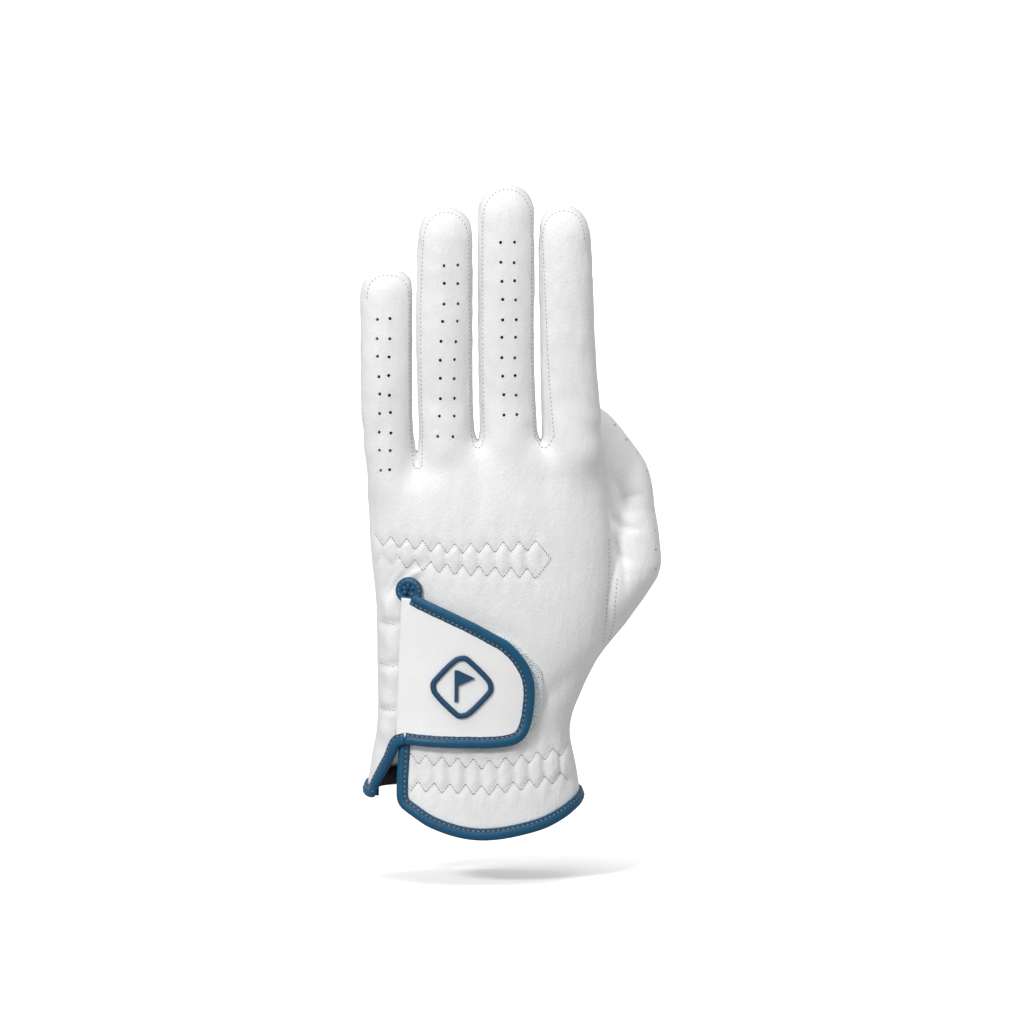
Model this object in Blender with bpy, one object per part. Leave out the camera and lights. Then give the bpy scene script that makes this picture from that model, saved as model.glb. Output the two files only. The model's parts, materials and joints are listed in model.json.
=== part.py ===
"""Golf glove for the left hand, modelled in metres with +Z up.

The fingers point up, the back of the hand faces -Y, the palm faces +Y and the thumb is on the +X side.
The origin lies in the wrist opening, level with its thumb side. Every leather part is a thin wall, so the glove is hollow.
Each finger stall folds at its root and at its middle, the thumb swings on its seam and bends at its
knuckle, and the closure tab swings open on its sewn edge. All the sizes below are in mm.
"""

import math

import bmesh
import bpy
import numpy as np
from mathutils import Matrix, Vector

MM = 0.001

# Thicknesses, and the clearance left between neighbouring pieces.
LEATHER = 1.2
ELASTIC = 0.8
TAB = 1.6
HOOK = 0.9
LOOP = 0.9
EMBLEM = 0.9
GAP = 0.35
BINDING_RADIUS = 1.2
SLIT_BINDING_RADIUS = 0.85
THREAD_RADIUS = 0.35

# Sections: height, left side, right side, back, palm, and where the section is widest.
SECTION_POWER = 2.3
HAND_SECTIONS = (
    (-16, -44.0, 34.2, -23.2, 23.2, 0),
    (0, -42.8, 33.0, -22.5, 22.5, 0),
    (12, -41.0, 31.2, -21.4, 21.0, 0),
    (26, -38.6, 29.2, -20.0, 20.0, 0),
    (40, -38.4, 34.0, -19.5, 20.6, 0),
    (55, -38.6, 41.0, -19.0, 21.0, 0),
    (70, -39.0, 43.4, -18.3, 20.6, 0),
    (85, -40.0, 43.6, -17.2, 19.0, 0),
    (100, -41.4, 42.8, -15.5, 16.6, 0),
    (112, -42.6, 41.4, -13.6, 14.0, 0),
    (122, -43.2, 40.0, -11.7, 12.0, 0),
    (136, -43.6, 38.6, -9.8, 10.2, 0),
)
HAND_ROWS = (7, 17, 26, 36, 46, 58, 70, 82, 94, 105, 113, 122, 136)
THUMB_SECTIONS = (
    (34, 25.0, 31.0, 7.0, 17.0, 12),
    (42, 16.0, 35.5, -2.0, 23.0, 12),
    (50, 13.0, 39.7, -5.0, 25.5, 12),
    (60, 14.0, 48.5, -6.5, 28.5, 12),
    (70, 18.0, 55.7, -6.5, 31.5, 13),
    (80, 23.0, 61.0, -4.0, 34.5, 15),
    (90, 29.5, 60.7, 2.0, 36.4, 19),
    (100, 33.5, 59.4, 8.5, 37.2, 23),
    (108, 34.0, 58.4, 12.0, 37.6, 25),
    (116, 32.5, 56.4, 16.0, 38.0, 27),
    (124, 29.0, 51.2, 19.0, 38.4, 29),
    (131, 26.0, 45.6, 21.4, 38.4, 30),
    (135, 26.6, 41.2, 24.0, 36.8, 30.5),
    (136.8, 30.0, 37.0, 27.6, 33.2, 30.6),
)

# The cuff's lower edge on the back of the hand and on the palm: side distance, height.
CUFF_BACK = ((-44, 5), (-36, 3), (-28, -1), (-20, -7.5), (-3, -12.6), (17, -9.8), (27, -5.2), (34, 0))
CUFF_PALM = ((-44, 5), (-30, 3), (0, -1), (20, -1.5), (34, 0))

# The slit in the back, under the closure tab, widening to the cuff: height, side distance.
SLIT_TOP = 73
SLIT_ULNAR_EDGE = ((-24, -41.0), (3, -41.0), (22, -33.4), (SLIT_TOP, -30.4))
SLIT_RADIAL_EDGE = ((-24, -27.6), (4, -27.8), (22, -27.9), (SLIT_TOP, -26.6))

# Fingers: middle line, half width, half depth, root fold, middle fold, tip, how far each fold
# bends to the palm, and the sides that face another finger.
FINGERS = {
    "pinky": dict(x=-34.9, wide=8.9, deep=7.8, root=120.5, middle=150, tip=183.0, bends=(62, 75), sides=(1,)),
    "ring": dict(x=-15.1, wide=9.9, deep=8.6, root=130, middle=165, tip=205.5, bends=(62, 75), sides=(-1, 1)),
    "middle": dict(x=6.5, wide=10.0, deep=8.8, root=130, middle=170, tip=214.6, bends=(62, 75), sides=(-1, 1)),
    "index": dict(x=27.8, wide=10.0, deep=8.7, root=130, middle=166, tip=206.5, bends=(44, 60), sides=(-1,)),
}
FINGER_START = 12
FINGER_CURL = 6.0
TIP_ROUND = 9.0
ROOT_EXTEND = 8.0
FOURCHETTE_HALF = 5.2
FOURCHETTE_MARGIN = 2.4
SIDE_NAMES = {-1: "ulnar", 1: "radial"}

# The thumb's seam lies in the plane of these three points; it swings on the line of the first two.
SEAM_LOW = Vector((37.0, -8.0, 40.0))
SEAM_HIGH = Vector((45.0, -7.5, 98.0))
SEAM_PALM = Vector((20.0, 24.0, 60.0))
HOLE_LOW, HOLE_HIGH = 31.0, 98.0
THUMB_KNUCKLE = Vector((46.0, 24.5, 106.0))
THUMB_KNUCKLE_AXIS = Vector((0, -1, 0))
THUMB_LIMB = Vector((-0.16, 0.22, 0.96))
THUMB_EXTEND, THUMB_FLEX = 30.0, 8.0

# The closure tab: its sewn edge, its lower and upper edges, and its free end.
TAB_HINGE_X = -30.6
TAB_LOW, TAB_HIGH = 23.8, 68.6
TAB_END_X = 14.2
TAB_SHOULDER = 50.5
TAB_CORNER = 6.0
TAB_BINDING_RADIUS = 1.15
HOOK_LIFT = GAP + LOOP + GAP
TAB_LIFT = HOOK_LIFT + HOOK + GAP
BADGE_CENTRE = (-8.6, 41.5)
BADGE_SIZE = 11.5
BADGE_FRAME = 2.0
LOOP_CENTRE = (-27.3, 74.4)

# Zigzag rows over the elastics: left end, right end, height at each end, half height, pitch.
KNUCKLE_ZIGZAGS = {"upper": (-36, 17, 90.0, 90.0, 2.8, 6), "lower": (-36, 17, 82.0, 82.0, 2.8, 6)}
CUFF_ZIGZAGS = {"upper": (-24, 26, 15.8, 19.2, 2.4, 6.2), "lower": (-24, 26, 6.4, 9.8, 2.4, 6.2)}

WHITE_LEATHER = (0.84, 0.84, 0.84)
WHITE_TAB = (0.88, 0.88, 0.89)
BLUE_BINDING = (0.012, 0.095, 0.175)
BLUE_RUBBER = (0.008, 0.085, 0.20)
MINT_LOOP = (0.72, 0.79, 0.80)
BLACK_TAPE = (0.012, 0.012, 0.014)
WHITE_ELASTIC = (0.72, 0.72, 0.72)
WHITE_THREAD = (0.6, 0.6, 0.6)

BLOCK = 60


def clear_scene():
    for obj in list(bpy.data.objects):
        bpy.data.objects.remove(obj)


def material(name, colour, roughness):
    """A Principled material, made once for each name."""
    found = bpy.data.materials.get(name)
    if found:
        return found
    made = bpy.data.materials.new(name)
    made.use_nodes = True
    shader = made.node_tree.nodes["Principled BSDF"]
    shader.inputs["Base Color"].default_value = (*colour, 1)
    shader.inputs["Roughness"].default_value = roughness
    shader.inputs["Metallic"].default_value = 0
    return made


def leather():
    return material("white_leather", WHITE_LEATHER, 0.55)


def binding_leather():
    return material("blue_binding", BLUE_BINDING, 0.5)


def thread():
    return material("white_thread", WHITE_THREAD, 0.7)


# Shapes


def add_mesh(name, bm, finish, origin=(0, 0, 0)):
    """A mesh object from points in mm, with its origin at a point in mm."""
    bmesh.ops.translate(bm, vec=-Vector(origin), verts=bm.verts)
    bmesh.ops.scale(bm, vec=(MM, MM, MM), verts=bm.verts)
    mesh = bpy.data.meshes.new(name)
    bm.to_mesh(mesh)
    bm.free()
    if finish:
        mesh.materials.append(finish)
    obj = bpy.data.objects.new(name, mesh)
    obj.location = Vector(origin) * MM
    bpy.context.scene.collection.objects.link(obj)
    return obj


def grid(bm, rows, around=False):
    """Quads between rows of points; around also joins each row's ends."""
    made = [[bm.verts.new(p) for p in row] for row in rows]
    for low, high in zip(made, made[1:]):
        count = len(low)
        for i in range(count if around else count - 1):
            j = (i + 1) % count
            bm.faces.new((low[i], low[j], high[j], high[i]))
    return made


def thicken(obj, thickness, outward=False):
    solid = obj.modifiers.new("Solidify", "SOLIDIFY")
    solid.thickness = thickness * MM
    solid.offset = 1 if outward else -1
    solid.use_even_offset = True
    return obj


def boolean(obj, other, operation="DIFFERENCE"):
    step = obj.modifiers.new("Boolean", "BOOLEAN")
    step.operation = operation
    step.object = other
    step.solver = "EXACT"
    return obj


def as_cutter(obj):
    obj.hide_render = True
    obj.display_type = "WIRE"
    return obj


def block(name, low, high, frame=Matrix.Identity(4)):
    """A closed box between two corners, in the given frame, for cutting with."""
    bm = bmesh.new()
    bmesh.ops.create_cube(bm, size=1)
    bmesh.ops.scale(bm, vec=Vector(high) - Vector(low), verts=bm.verts)
    bmesh.ops.translate(bm, vec=(Vector(low) + Vector(high)) / 2, verts=bm.verts)
    bmesh.ops.transform(bm, matrix=frame, verts=bm.verts)
    return as_cutter(add_mesh(name, bm, None))


def prism(name, outline, frame, half_width):
    """An outline in a frame's second and third axes, extruded both ways along its first."""
    bm = bmesh.new()
    near = [bm.verts.new(frame @ Vector((-half_width, u, v))) for u, v in outline]
    face = bm.faces.new(near)
    grown = bmesh.ops.extrude_face_region(bm, geom=[face], use_keep_orig=True)
    far = [item for item in grown["geom"] if isinstance(item, bmesh.types.BMVert)]
    bmesh.ops.translate(bm, vec=frame.to_3x3() @ Vector((2 * half_width, 0, 0)), verts=far)
    bmesh.ops.recalc_face_normals(bm, faces=bm.faces)
    return as_cutter(add_mesh(name, bm, None))


def frame_at(origin, first, third):
    """A frame whose first axis is given, and whose third is as near as it can be to the one given."""
    first = Vector(first).normalized()
    third = (Vector(third) - first * first.dot(Vector(third))).normalized()
    frame = Matrix((first, third.cross(first), third)).transposed().to_4x4()
    frame.translation = Vector(origin)
    return frame


def fold_cutter(name, pivot, axis, limb, bends, above, half_width):
    """What lies beyond a fold: two planes that meet on the joint's axis, leaning by half of each bend.

    The first bend leans the plane on the side of the frame's second axis, the other one the far side.
    """
    side = 1 if above else -1
    start = -side * GAP / 2
    drops = [side * BLOCK * math.tan(math.radians(bend / 2 + 0.6)) for bend in bends]
    outline = [
        (0, start),
        (BLOCK, start - drops[0]),
        (BLOCK, side * 3 * BLOCK),
        (-BLOCK, side * 3 * BLOCK),
        (-BLOCK, start - drops[1]),
    ]
    return prism(name, outline, frame_at(pivot, axis, limb), half_width)


def read_curve(table, at):
    """The values of a table's rows at one value of their first column, on a smooth curve."""
    keys = [row[0] for row in table]
    rows = [np.array(row[1:], float) for row in table]
    if at <= keys[0]:
        return rows[0]
    if at >= keys[-1]:
        return rows[-1]
    i = max(k for k in range(len(keys) - 1) if keys[k] <= at)
    span = keys[i + 1] - keys[i]
    t = (at - keys[i]) / span

    def slope(k):
        low, high = max(k - 1, 0), min(k + 1, len(keys) - 1)
        return (rows[high] - rows[low]) / (keys[high] - keys[low]) * span

    start, leave = (1 + 2 * t) * (1 - t) ** 2, t * (1 - t) ** 2
    end, arrive = t * t * (3 - 2 * t), t * t * (t - 1)
    return start * rows[i] + leave * slope(i) + end * rows[i + 1] + arrive * slope(i + 1)


def smooth_path(points, count):
    """Points spread evenly on a smooth curve through the given ones."""
    points = [Vector(p) for p in points]
    lengths = [(b - a).length for a, b in zip(points, points[1:])]
    along = np.concatenate([[0], np.cumsum(lengths)])
    table = [(s, *p) for s, p in zip(along, points)]
    return [Vector(read_curve(table, s)) for s in np.linspace(0, along[-1], count)]


def tube(name, points, radius, finish, origin=(0, 0, 0), closed=False):
    """A round cord along points."""
    curve = bpy.data.curves.new(name, "CURVE")
    curve.dimensions = "3D"
    curve.bevel_depth = radius * MM
    curve.bevel_resolution = 1
    curve.use_fill_caps = True
    curve.materials.append(finish)
    path = curve.splines.new("POLY")
    path.points.add(len(points) - 1)
    for spot, point in zip(path.points, points):
        spot.co = (*((Vector(point) - Vector(origin)) * MM), 1)
    path.use_cyclic_u = closed
    obj = bpy.data.objects.new(name, curve)
    obj.location = Vector(origin) * MM
    bpy.context.scene.collection.objects.link(obj)
    return obj


# Sections and surfaces


def rounded(angle):
    """The point of a unit superellipse at an angle."""
    power = 2 / SECTION_POWER
    c, s = math.cos(angle), math.sin(angle)
    return math.copysign(abs(c) ** power, c), math.copysign(abs(s) ** power, s)


def section_point(section, angle, z):
    """A point of a section at height z; angle 0 is the radial side and a quarter turn is the palm."""
    left, right, back, palm, widest = section
    across, out = rounded(angle)
    deep = palm - widest if out > 0 else widest - back
    return Vector(((left + right) / 2 + (right - left) / 2 * across, widest + deep * out, z))


def ring(section, z, count):
    return [section_point(section, 2 * math.pi * i / count, z) for i in range(count)]


def shell_y(x, z, inset, back=True):
    """The depth of the surface that lies inset from the hand's outer face, on its back or its palm."""
    left, right, back_y, palm_y, _ = read_curve(HAND_SECTIONS, z)
    half = (right - left) / 2 - inset
    deep = (-back_y if back else palm_y) - inset
    share = min(abs(x - (left + right) / 2) / half, 0.995)
    y = deep * (1 - share**SECTION_POWER) ** (1 / SECTION_POWER)
    return -y if back else y


def band_rows(left, right, low, high, columns=16, rows=3):
    return [[(x, z) for x in np.linspace(left, right, columns)] for z in np.linspace(low, high, rows)]


def patch(name, rows, inset, thickness, finish, back=True, origin=(0, 0, 0)):
    """A sheet that follows the hand, with its inner face inset from the leather's outer face."""
    bm = bmesh.new()
    grid(bm, [[Vector((x, shell_y(x, z, inset, back), z)) for x, z in row] for row in rows])
    bm.normal_update()
    facing = sum(face.normal.y for face in bm.faces)
    if (facing > 0) == back:
        bmesh.ops.reverse_faces(bm, faces=bm.faces)
    return thicken(add_mesh(name, bm, finish, origin), thickness, outward=True)


# The hand


def seam_frame():
    """The thumb seam's plane: its first axis runs up the seam and its third points out of the hand."""
    along = SEAM_HIGH - SEAM_LOW
    outward = (SEAM_PALM - SEAM_LOW).cross(along)
    if outward.x < 0:
        outward.negate()
    return frame_at(SEAM_LOW, along, outward)


def seam_distance(z):
    """How far up the seam, from its lower point, a height is."""
    along = SEAM_HIGH - SEAM_LOW
    return (z - SEAM_LOW.z) / along.normalized().z


def hand_wall(name, start, end, edge):
    """One half of the hand's wall, from its cuff edge to above the finger roots."""
    trim = math.radians(1.5)
    angles = np.linspace(start + trim, end - trim, 17)
    cuff = []
    for angle in angles:
        x = section_point(read_curve(HAND_SECTIONS, 0), angle, 0).x
        z = float(read_curve(edge, x)[0])
        cuff.append(section_point(read_curve(HAND_SECTIONS, z), angle, z))
    rows = [cuff]
    for z in HAND_ROWS:
        section = read_curve(HAND_SECTIONS, z)
        rows.append([section_point(section, angle, z) for angle in angles])
    bm = bmesh.new()
    grid(bm, rows)
    return thicken(add_mesh(name, bm, leather()), LEATHER)


def make_hand():
    """The trank's back and palm, open at the slit, the thumb hole and the finger roots."""
    back = hand_wall("trank_back", math.pi, 2 * math.pi, CUFF_BACK)
    palm = hand_wall("trank_palm", 0, math.pi, CUFF_PALM)
    facing_back = frame_at((0, -BLOCK, 0), (0, 1, 0), (0, 0, 1))
    outline = [(-x, z) for z, x in (*SLIT_ULNAR_EDGE, *reversed(SLIT_RADIAL_EDGE))]
    boolean(back, prism("cut_slit", outline, facing_back, BLOCK - 4))
    low, high = (seam_distance(z) for z in (HOLE_LOW, HOLE_HIGH))
    hole = block("cut_thumb_hole", (low, -BLOCK, -GAP / 2), (high, BLOCK, BLOCK), seam_frame())
    roots = [root_cutter(name, above=True) for name in FINGERS]
    for wall in (back, palm):
        for cut in (hole, *roots):
            boolean(wall, cut)


# The fingers


def root_cutter(name, above):
    finger = FINGERS[name]
    pivot = (finger["x"], 0, finger["root"])
    bends = (finger["bends"][0], ROOT_EXTEND)
    half_width = finger["wide"] + (1.6 if above else 3)
    where = "above" if above else "below"
    return fold_cutter(f"cut_{name}_root_{where}", pivot, (1, 0, 0), (0, 0, 1), bends, above, half_width)


def middle_cutter(name, above):
    finger = FINGERS[name]
    where = "above" if above else "below"
    pivot, bends = middle_pivot(finger), (finger["bends"][1], 0)
    name = f"cut_{name}_middle_{where}"
    return fold_cutter(name, pivot, (1, 0, 0), (0, 0, 1), bends, above, finger["wide"] + 3)


def finger_lean(finger, z):
    """How far towards the palm a relaxed finger leans at a height."""
    share = max(0, (z - finger["root"]) / (finger["tip"] - finger["root"]))
    return FINGER_CURL * share**2


def middle_pivot(finger):
    return (finger["x"], finger_lean(finger, finger["middle"]), finger["middle"])


def finger_wall(name, finger, origin):
    """A finger's whole stall, from below its root to its rounded tip."""
    x, wide, deep = finger["x"], finger["wide"], finger["deep"]
    straight = np.linspace(finger["root"] - FINGER_START, finger["tip"] - TIP_ROUND, 7)
    levels = [(z, 1.0) for z in straight]
    for turn in map(math.radians, (30, 55, 75, 87)):
        levels.append((finger["tip"] - TIP_ROUND * (1 - math.sin(turn)), math.cos(turn) ** 0.8))
    rows = []
    for z, share in levels:
        lean = finger_lean(finger, z)
        section = (x - wide * share, x + wide * share, lean - deep * share, lean + deep * share, lean)
        rows.append(ring(section, z, 20))
    bm = bmesh.new()
    made = grid(bm, rows, around=True)
    bm.faces.new(made[-1])
    return thicken(add_mesh(name, bm, leather(), origin), LEATHER)


def make_finger(name):
    """The leather of one finger in two lengths, each with its side strips let in."""
    finger = FINGERS[name]
    root, middle, tip = finger["root"], finger["middle"], finger["tip"]
    root_drop, middle_drop = (FOURCHETTE_HALF * math.tan(math.radians(bend / 2)) for bend in finger["bends"])
    below_root = root_cutter(name, above=False)
    above_middle, below_middle = middle_cutter(name, above=True), middle_cutter(name, above=False)
    lengths = {
        "lower": ((finger["x"], 0, root), (below_root, above_middle), root + root_drop, middle - middle_drop),
        "tip": (middle_pivot(finger), (below_middle,), middle + middle_drop, tip - TIP_ROUND),
    }
    for part, (origin, cuts, low, high) in lengths.items():
        wall = finger_wall(f"{name}_{part}", finger, origin)
        for cut in cuts:
            boolean(wall, cut)
        for side in finger["sides"]:
            make_fourchette(f"{name}_{part}", finger, origin, wall, side, low, high)


def make_fourchette(stem, finger, origin, wall, side, low, high):
    """A side strip: the part of the stall inside a window, which is cut out of the finger's wall."""
    inner, outer = finger["x"] + side * finger["wide"] * 0.5, finger["x"] + side * (finger["wide"] + 4)
    left, right = sorted((inner, outer))
    y = finger_lean(finger, (low + high) / 2)
    low, high = low + FOURCHETTE_MARGIN, high - FOURCHETTE_MARGIN
    name = f"{stem}_fourchette_{SIDE_NAMES[side]}"
    for role, margin in (("window", 0), ("strip", GAP)):
        half = FOURCHETTE_HALF - margin
        shape = block(f"cut_{name}_{role}", (left, y - half, low + margin), (right, y + half, high - margin))
        if role == "window":
            boolean(wall, shape)
        else:
            boolean(finger_wall(name, finger, origin), shape, "INTERSECT")


# The thumb


def thumb_wall(name, origin):
    bm = bmesh.new()
    heights = [section[0] for section in THUMB_SECTIONS]
    levels = sorted({*heights, 55, 65, 75, 85, 95, 104, 112, 120, 128})
    made = grid(bm, [ring(read_curve(THUMB_SECTIONS, z), z, 24) for z in levels], around=True)
    bm.faces.new(reversed(made[0]))
    bm.faces.new(made[-1])
    return thicken(add_mesh(name, bm, leather(), origin), LEATHER)


def make_thumb():
    """The set-in thumb: a base sewn round the thumb hole, and the tip beyond the knuckle."""
    inside = block("cut_thumb_inside", (-BLOCK, -BLOCK, -BLOCK), (2 * BLOCK, BLOCK, GAP / 2), seam_frame())
    knuckle = (THUMB_KNUCKLE, THUMB_KNUCKLE_AXIS, THUMB_LIMB, (THUMB_EXTEND, THUMB_FLEX))
    above = fold_cutter("cut_thumb_above", *knuckle, above=True, half_width=BLOCK)
    below = fold_cutter("cut_thumb_below", *knuckle, above=False, half_width=BLOCK)
    base = thumb_wall("thumb_base", SEAM_LOW)
    boolean(base, inside)
    boolean(base, above)
    boolean(thumb_wall("thumb_tip", THUMB_KNUCKLE), below)


# The elastics, the tape and the zigzag stitching that holds the elastics


def make_elastics():
    elastic = material("white_elastic", WHITE_ELASTIC, 0.9)
    tape = material("black_tape", BLACK_TAPE, 0.8)
    inset = LEATHER + GAP + ELASTIC
    patch("knuckle_elastic", band_rows(-24, 22, 79.5, 91), inset, ELASTIC, elastic)
    patch("cuff_elastic", band_rows(-23, 25, 6, 19), inset, ELASTIC, elastic)
    patch("wrist_elastic", band_rows(-30, 16, 30, 62, rows=5), inset, ELASTIC, elastic, back=False)
    patch("inner_cuff_tape", band_rows(-32, 24, 5, 11), inset, ELASTIC, tape, back=False)


def make_zigzag(name, left, right, left_z, right_z, half_height, pitch):
    """A row of zigzag stitching on the back of the hand."""
    count = round((right - left) / (pitch / 2))
    points = []
    for i, x in enumerate(np.linspace(left, right, count + 1)):
        z = left_z + (right_z - left_z) * i / count + half_height * (-1) ** i
        points.append((x, shell_y(x, z, -GAP - THREAD_RADIUS), z))
    tube(name, points, THREAD_RADIUS, thread())


def make_zigzags():
    for zone, zigzags in (("knuckle", KNUCKLE_ZIGZAGS), ("cuff", CUFF_ZIGZAGS)):
        for row, layout in zigzags.items():
            make_zigzag(f"{zone}_zigzag_{row}", *layout)


# The closure tab


def tab_top(x):
    """The tab's upper edge slopes down from the top of the slit to the shoulder at its free end."""
    share = (x - TAB_HINGE_X) / (TAB_END_X - TAB_HINGE_X)
    return TAB_HIGH + (TAB_SHOULDER - TAB_HIGH) * share


def tab_rows(margin, rows=8, columns=14):
    """The tab's outline, inset by a margin, in rows from its lower edge to its upper one."""
    end = TAB_END_X - margin
    made = []
    for share in np.linspace(0, 1, rows):
        row = []
        for x in np.linspace(TAB_HINGE_X + margin, end, columns):
            corner = max(0, x - (end - TAB_CORNER)) / TAB_CORNER
            pull = TAB_CORNER * (1 - math.sqrt(1 - corner**2)) * 0.9
            low, high = TAB_LOW + margin + pull, tab_top(x) - margin - pull
            row.append((x, low + (high - low) * share))
        made.append(row)
    return made


def make_tab():
    """The tab's outer piece, the hook strip under it, the loop patch it grips, badge and binding."""
    hinge = (TAB_HINGE_X, shell_y(TAB_HINGE_X, 45, -TAB_LIFT), TAB_LOW)
    fleece = {
        "hook": material("white_hook", WHITE_ELASTIC, 0.9),
        "loop": material("mint_loop", MINT_LOOP, 0.95),
    }
    tab_white = material("white_tab", WHITE_TAB, 0.6)
    patch("tab_outer", tab_rows(TAB_BINDING_RADIUS), -TAB_LIFT, TAB, tab_white, origin=hinge)
    patch("tab_hook_strip", band_rows(-16, 9, 28, 48, rows=5), -HOOK_LIFT, HOOK, fleece["hook"], origin=hinge)
    patch("loop_patch", band_rows(-22, 18, 26, 52, rows=5), -GAP, LOOP, fleece["loop"])
    make_badge(hinge)
    make_tab_binding(hinge)


def make_badge(hinge):
    """The moulded rubber badge: a diamond frame round a pennant on its pole."""
    rubber = material("blue_rubber", BLUE_RUBBER, 0.45)
    inset = -(TAB_LIFT + TAB + GAP)
    x0, z0 = BADGE_CENTRE
    inner = BADGE_SIZE - BADGE_FRAME * math.sqrt(2)
    outlines = [
        [(0, -BADGE_SIZE), (BADGE_SIZE, 0), (0, BADGE_SIZE), (-BADGE_SIZE, 0)],
        [(0, -inner), (inner, 0), (0, inner), (-inner, 0)],
    ]
    bm = bmesh.new()
    steps = [i / 4 for i in range(4)]
    rows = []
    for outline in outlines:
        row = []
        for (ax, az), (bx, bz) in zip(outline, outline[1:] + outline[:1]):
            for t in steps:
                x, z = x0 + ax + (bx - ax) * t, z0 + az + (bz - az) * t
                row.append(Vector((x, shell_y(x, z, inset), z)))
        rows.append(row)
    grid(bm, rows, around=True)
    bm.normal_update()
    if sum(face.normal.y for face in bm.faces) > 0:
        bmesh.ops.reverse_faces(bm, faces=bm.faces)
    thicken(add_mesh("tab_badge", bm, rubber, hinge), EMBLEM, outward=True)
    pennant = band_rows(x0 - 2.6, x0 + 4.6, z0 - 1.2, z0 + 4.2, columns=4, rows=3)
    patch("tab_badge_pennant", pennant, inset, EMBLEM, rubber, origin=hinge)


def make_tab_binding(hinge):
    """The piping round the tab's free edges."""
    clear = TAB_BINDING_RADIUS + GAP
    start, end = TAB_HINGE_X + TAB_BINDING_RADIUS, TAB_END_X - TAB_BINDING_RADIUS + clear
    spare = clear - TAB_BINDING_RADIUS
    top = [(x, tab_top(x) + spare + 0.2) for x in np.linspace(start, end - TAB_CORNER, 5)]
    side = [(end - 0.6, TAB_SHOULDER - 2.6), (end, 38), (end - 0.8, TAB_LOW + 4.6)]
    foot = [(x, TAB_LOW - spare) for x in np.linspace(end - TAB_CORNER, start, 5)]
    inset = -(TAB_LIFT + TAB / 2)
    path = [(x, shell_y(x, z, inset), z) for x, z in (*top, *side, *foot)]
    tube("tab_binding", smooth_path(path, 44), TAB_BINDING_RADIUS, binding_leather(), hinge)


# The bindings of the cuff and the slit


def cuff_spot(x, back, drop):
    edge = CUFF_BACK if back else CUFF_PALM
    z = float(read_curve(edge, x)[0]) - drop
    return (x, shell_y(x, z, LEATHER / 2, back), z)


def side_spot(angle, z):
    point = section_point(read_curve(HAND_SECTIONS, z), angle, z)
    point.x -= math.copysign(LEATHER / 2, point.x)
    return point


def make_cuff_binding():
    """The piping down the slit's radial edge and all round the cuff, in one length."""
    drop = BINDING_RADIUS + GAP
    route = []
    for z in (68, 52, 36, 22, 10, 4):
        x = float(read_curve(SLIT_RADIAL_EDGE, z)[0]) - drop
        route.append((x, shell_y(x, z, LEATHER / 2), z))
    for x, z in ((-29.1, -1.6), (-27.4, -3.9)):
        route.append((x, shell_y(x, z, LEATHER / 2), z))
    route += [cuff_spot(x, True, drop + 0.3) for x in (-20, -10, 0, 10, 20, 28)]
    route.append(side_spot(0, -drop - 0.3))
    route += [cuff_spot(x, False, drop) for x in (28, 20, 10, 0, -10, -20, -30, -38)]
    route.append(side_spot(math.pi, 5 - drop - 0.8))
    tube("cuff_binding", smooth_path(route, 78), BINDING_RADIUS, binding_leather())


def make_slit_binding():
    """The piping on the slit's ulnar edge, from the cuff up to the tab."""
    clear = SLIT_BINDING_RADIUS + GAP
    route = []
    for z in (4.6, 9, 14, 19.5):
        x = float(read_curve(SLIT_ULNAR_EDGE, z)[0]) + clear
        route.append((x, shell_y(x, z, LEATHER / 2), z))
    tube("slit_binding", smooth_path(route, 16), SLIT_BINDING_RADIUS, binding_leather())


def make_gathered_loop():
    """The gathered loop of binding that closes the top of the slit."""
    radius, cord = 2.7, 1.3
    points = []
    for i in range(16):
        turn = 2 * math.pi * i / 16
        x, z = LOOP_CENTRE[0] + radius * math.cos(turn), LOOP_CENTRE[1] + radius * math.sin(turn)
        points.append((x, shell_y(x, z, -(cord + GAP)), z))
    tube("gathered_loop", points, cord, binding_leather(), closed=True)


def main():
    clear_scene()
    make_hand()
    for name in FINGERS:
        make_finger(name)
    make_thumb()
    make_elastics()
    make_zigzags()
    make_tab()
    make_cuff_binding()
    make_slit_binding()
    make_gathered_loop()


main()
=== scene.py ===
"""Looks of a left-hand golf glove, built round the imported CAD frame.

The leather is lofted, joined and remeshed in two closed skins, the hand with its fingers and the thumb. Each
skin gets its folds, seams and vent holes, is cut open where the glove opens, and is then divided so that
every piece bends across one joint at most. Sizes in this file are in mm; add_piece scales them to metres.
"""

import json
import math

import bmesh
import bpy
import numpy as np
from mathutils import Matrix, Vector, kdtree, noise
from mathutils.bvhtree import BVHTree


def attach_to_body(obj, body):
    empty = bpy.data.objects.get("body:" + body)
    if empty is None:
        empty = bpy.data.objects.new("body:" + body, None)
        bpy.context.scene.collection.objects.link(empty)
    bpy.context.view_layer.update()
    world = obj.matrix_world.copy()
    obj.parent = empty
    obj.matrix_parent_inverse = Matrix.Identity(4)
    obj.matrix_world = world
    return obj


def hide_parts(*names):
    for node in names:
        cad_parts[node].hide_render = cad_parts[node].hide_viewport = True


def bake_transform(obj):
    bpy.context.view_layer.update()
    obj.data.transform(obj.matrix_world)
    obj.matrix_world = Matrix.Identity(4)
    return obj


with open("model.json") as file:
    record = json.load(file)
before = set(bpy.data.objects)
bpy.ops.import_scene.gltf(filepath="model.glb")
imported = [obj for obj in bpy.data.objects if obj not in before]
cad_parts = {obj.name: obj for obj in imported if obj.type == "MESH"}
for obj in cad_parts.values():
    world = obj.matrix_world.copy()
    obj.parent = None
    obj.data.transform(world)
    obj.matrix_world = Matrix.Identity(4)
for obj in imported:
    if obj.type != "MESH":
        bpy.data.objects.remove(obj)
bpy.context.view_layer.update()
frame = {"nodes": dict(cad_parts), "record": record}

MM = 0.001
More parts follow.
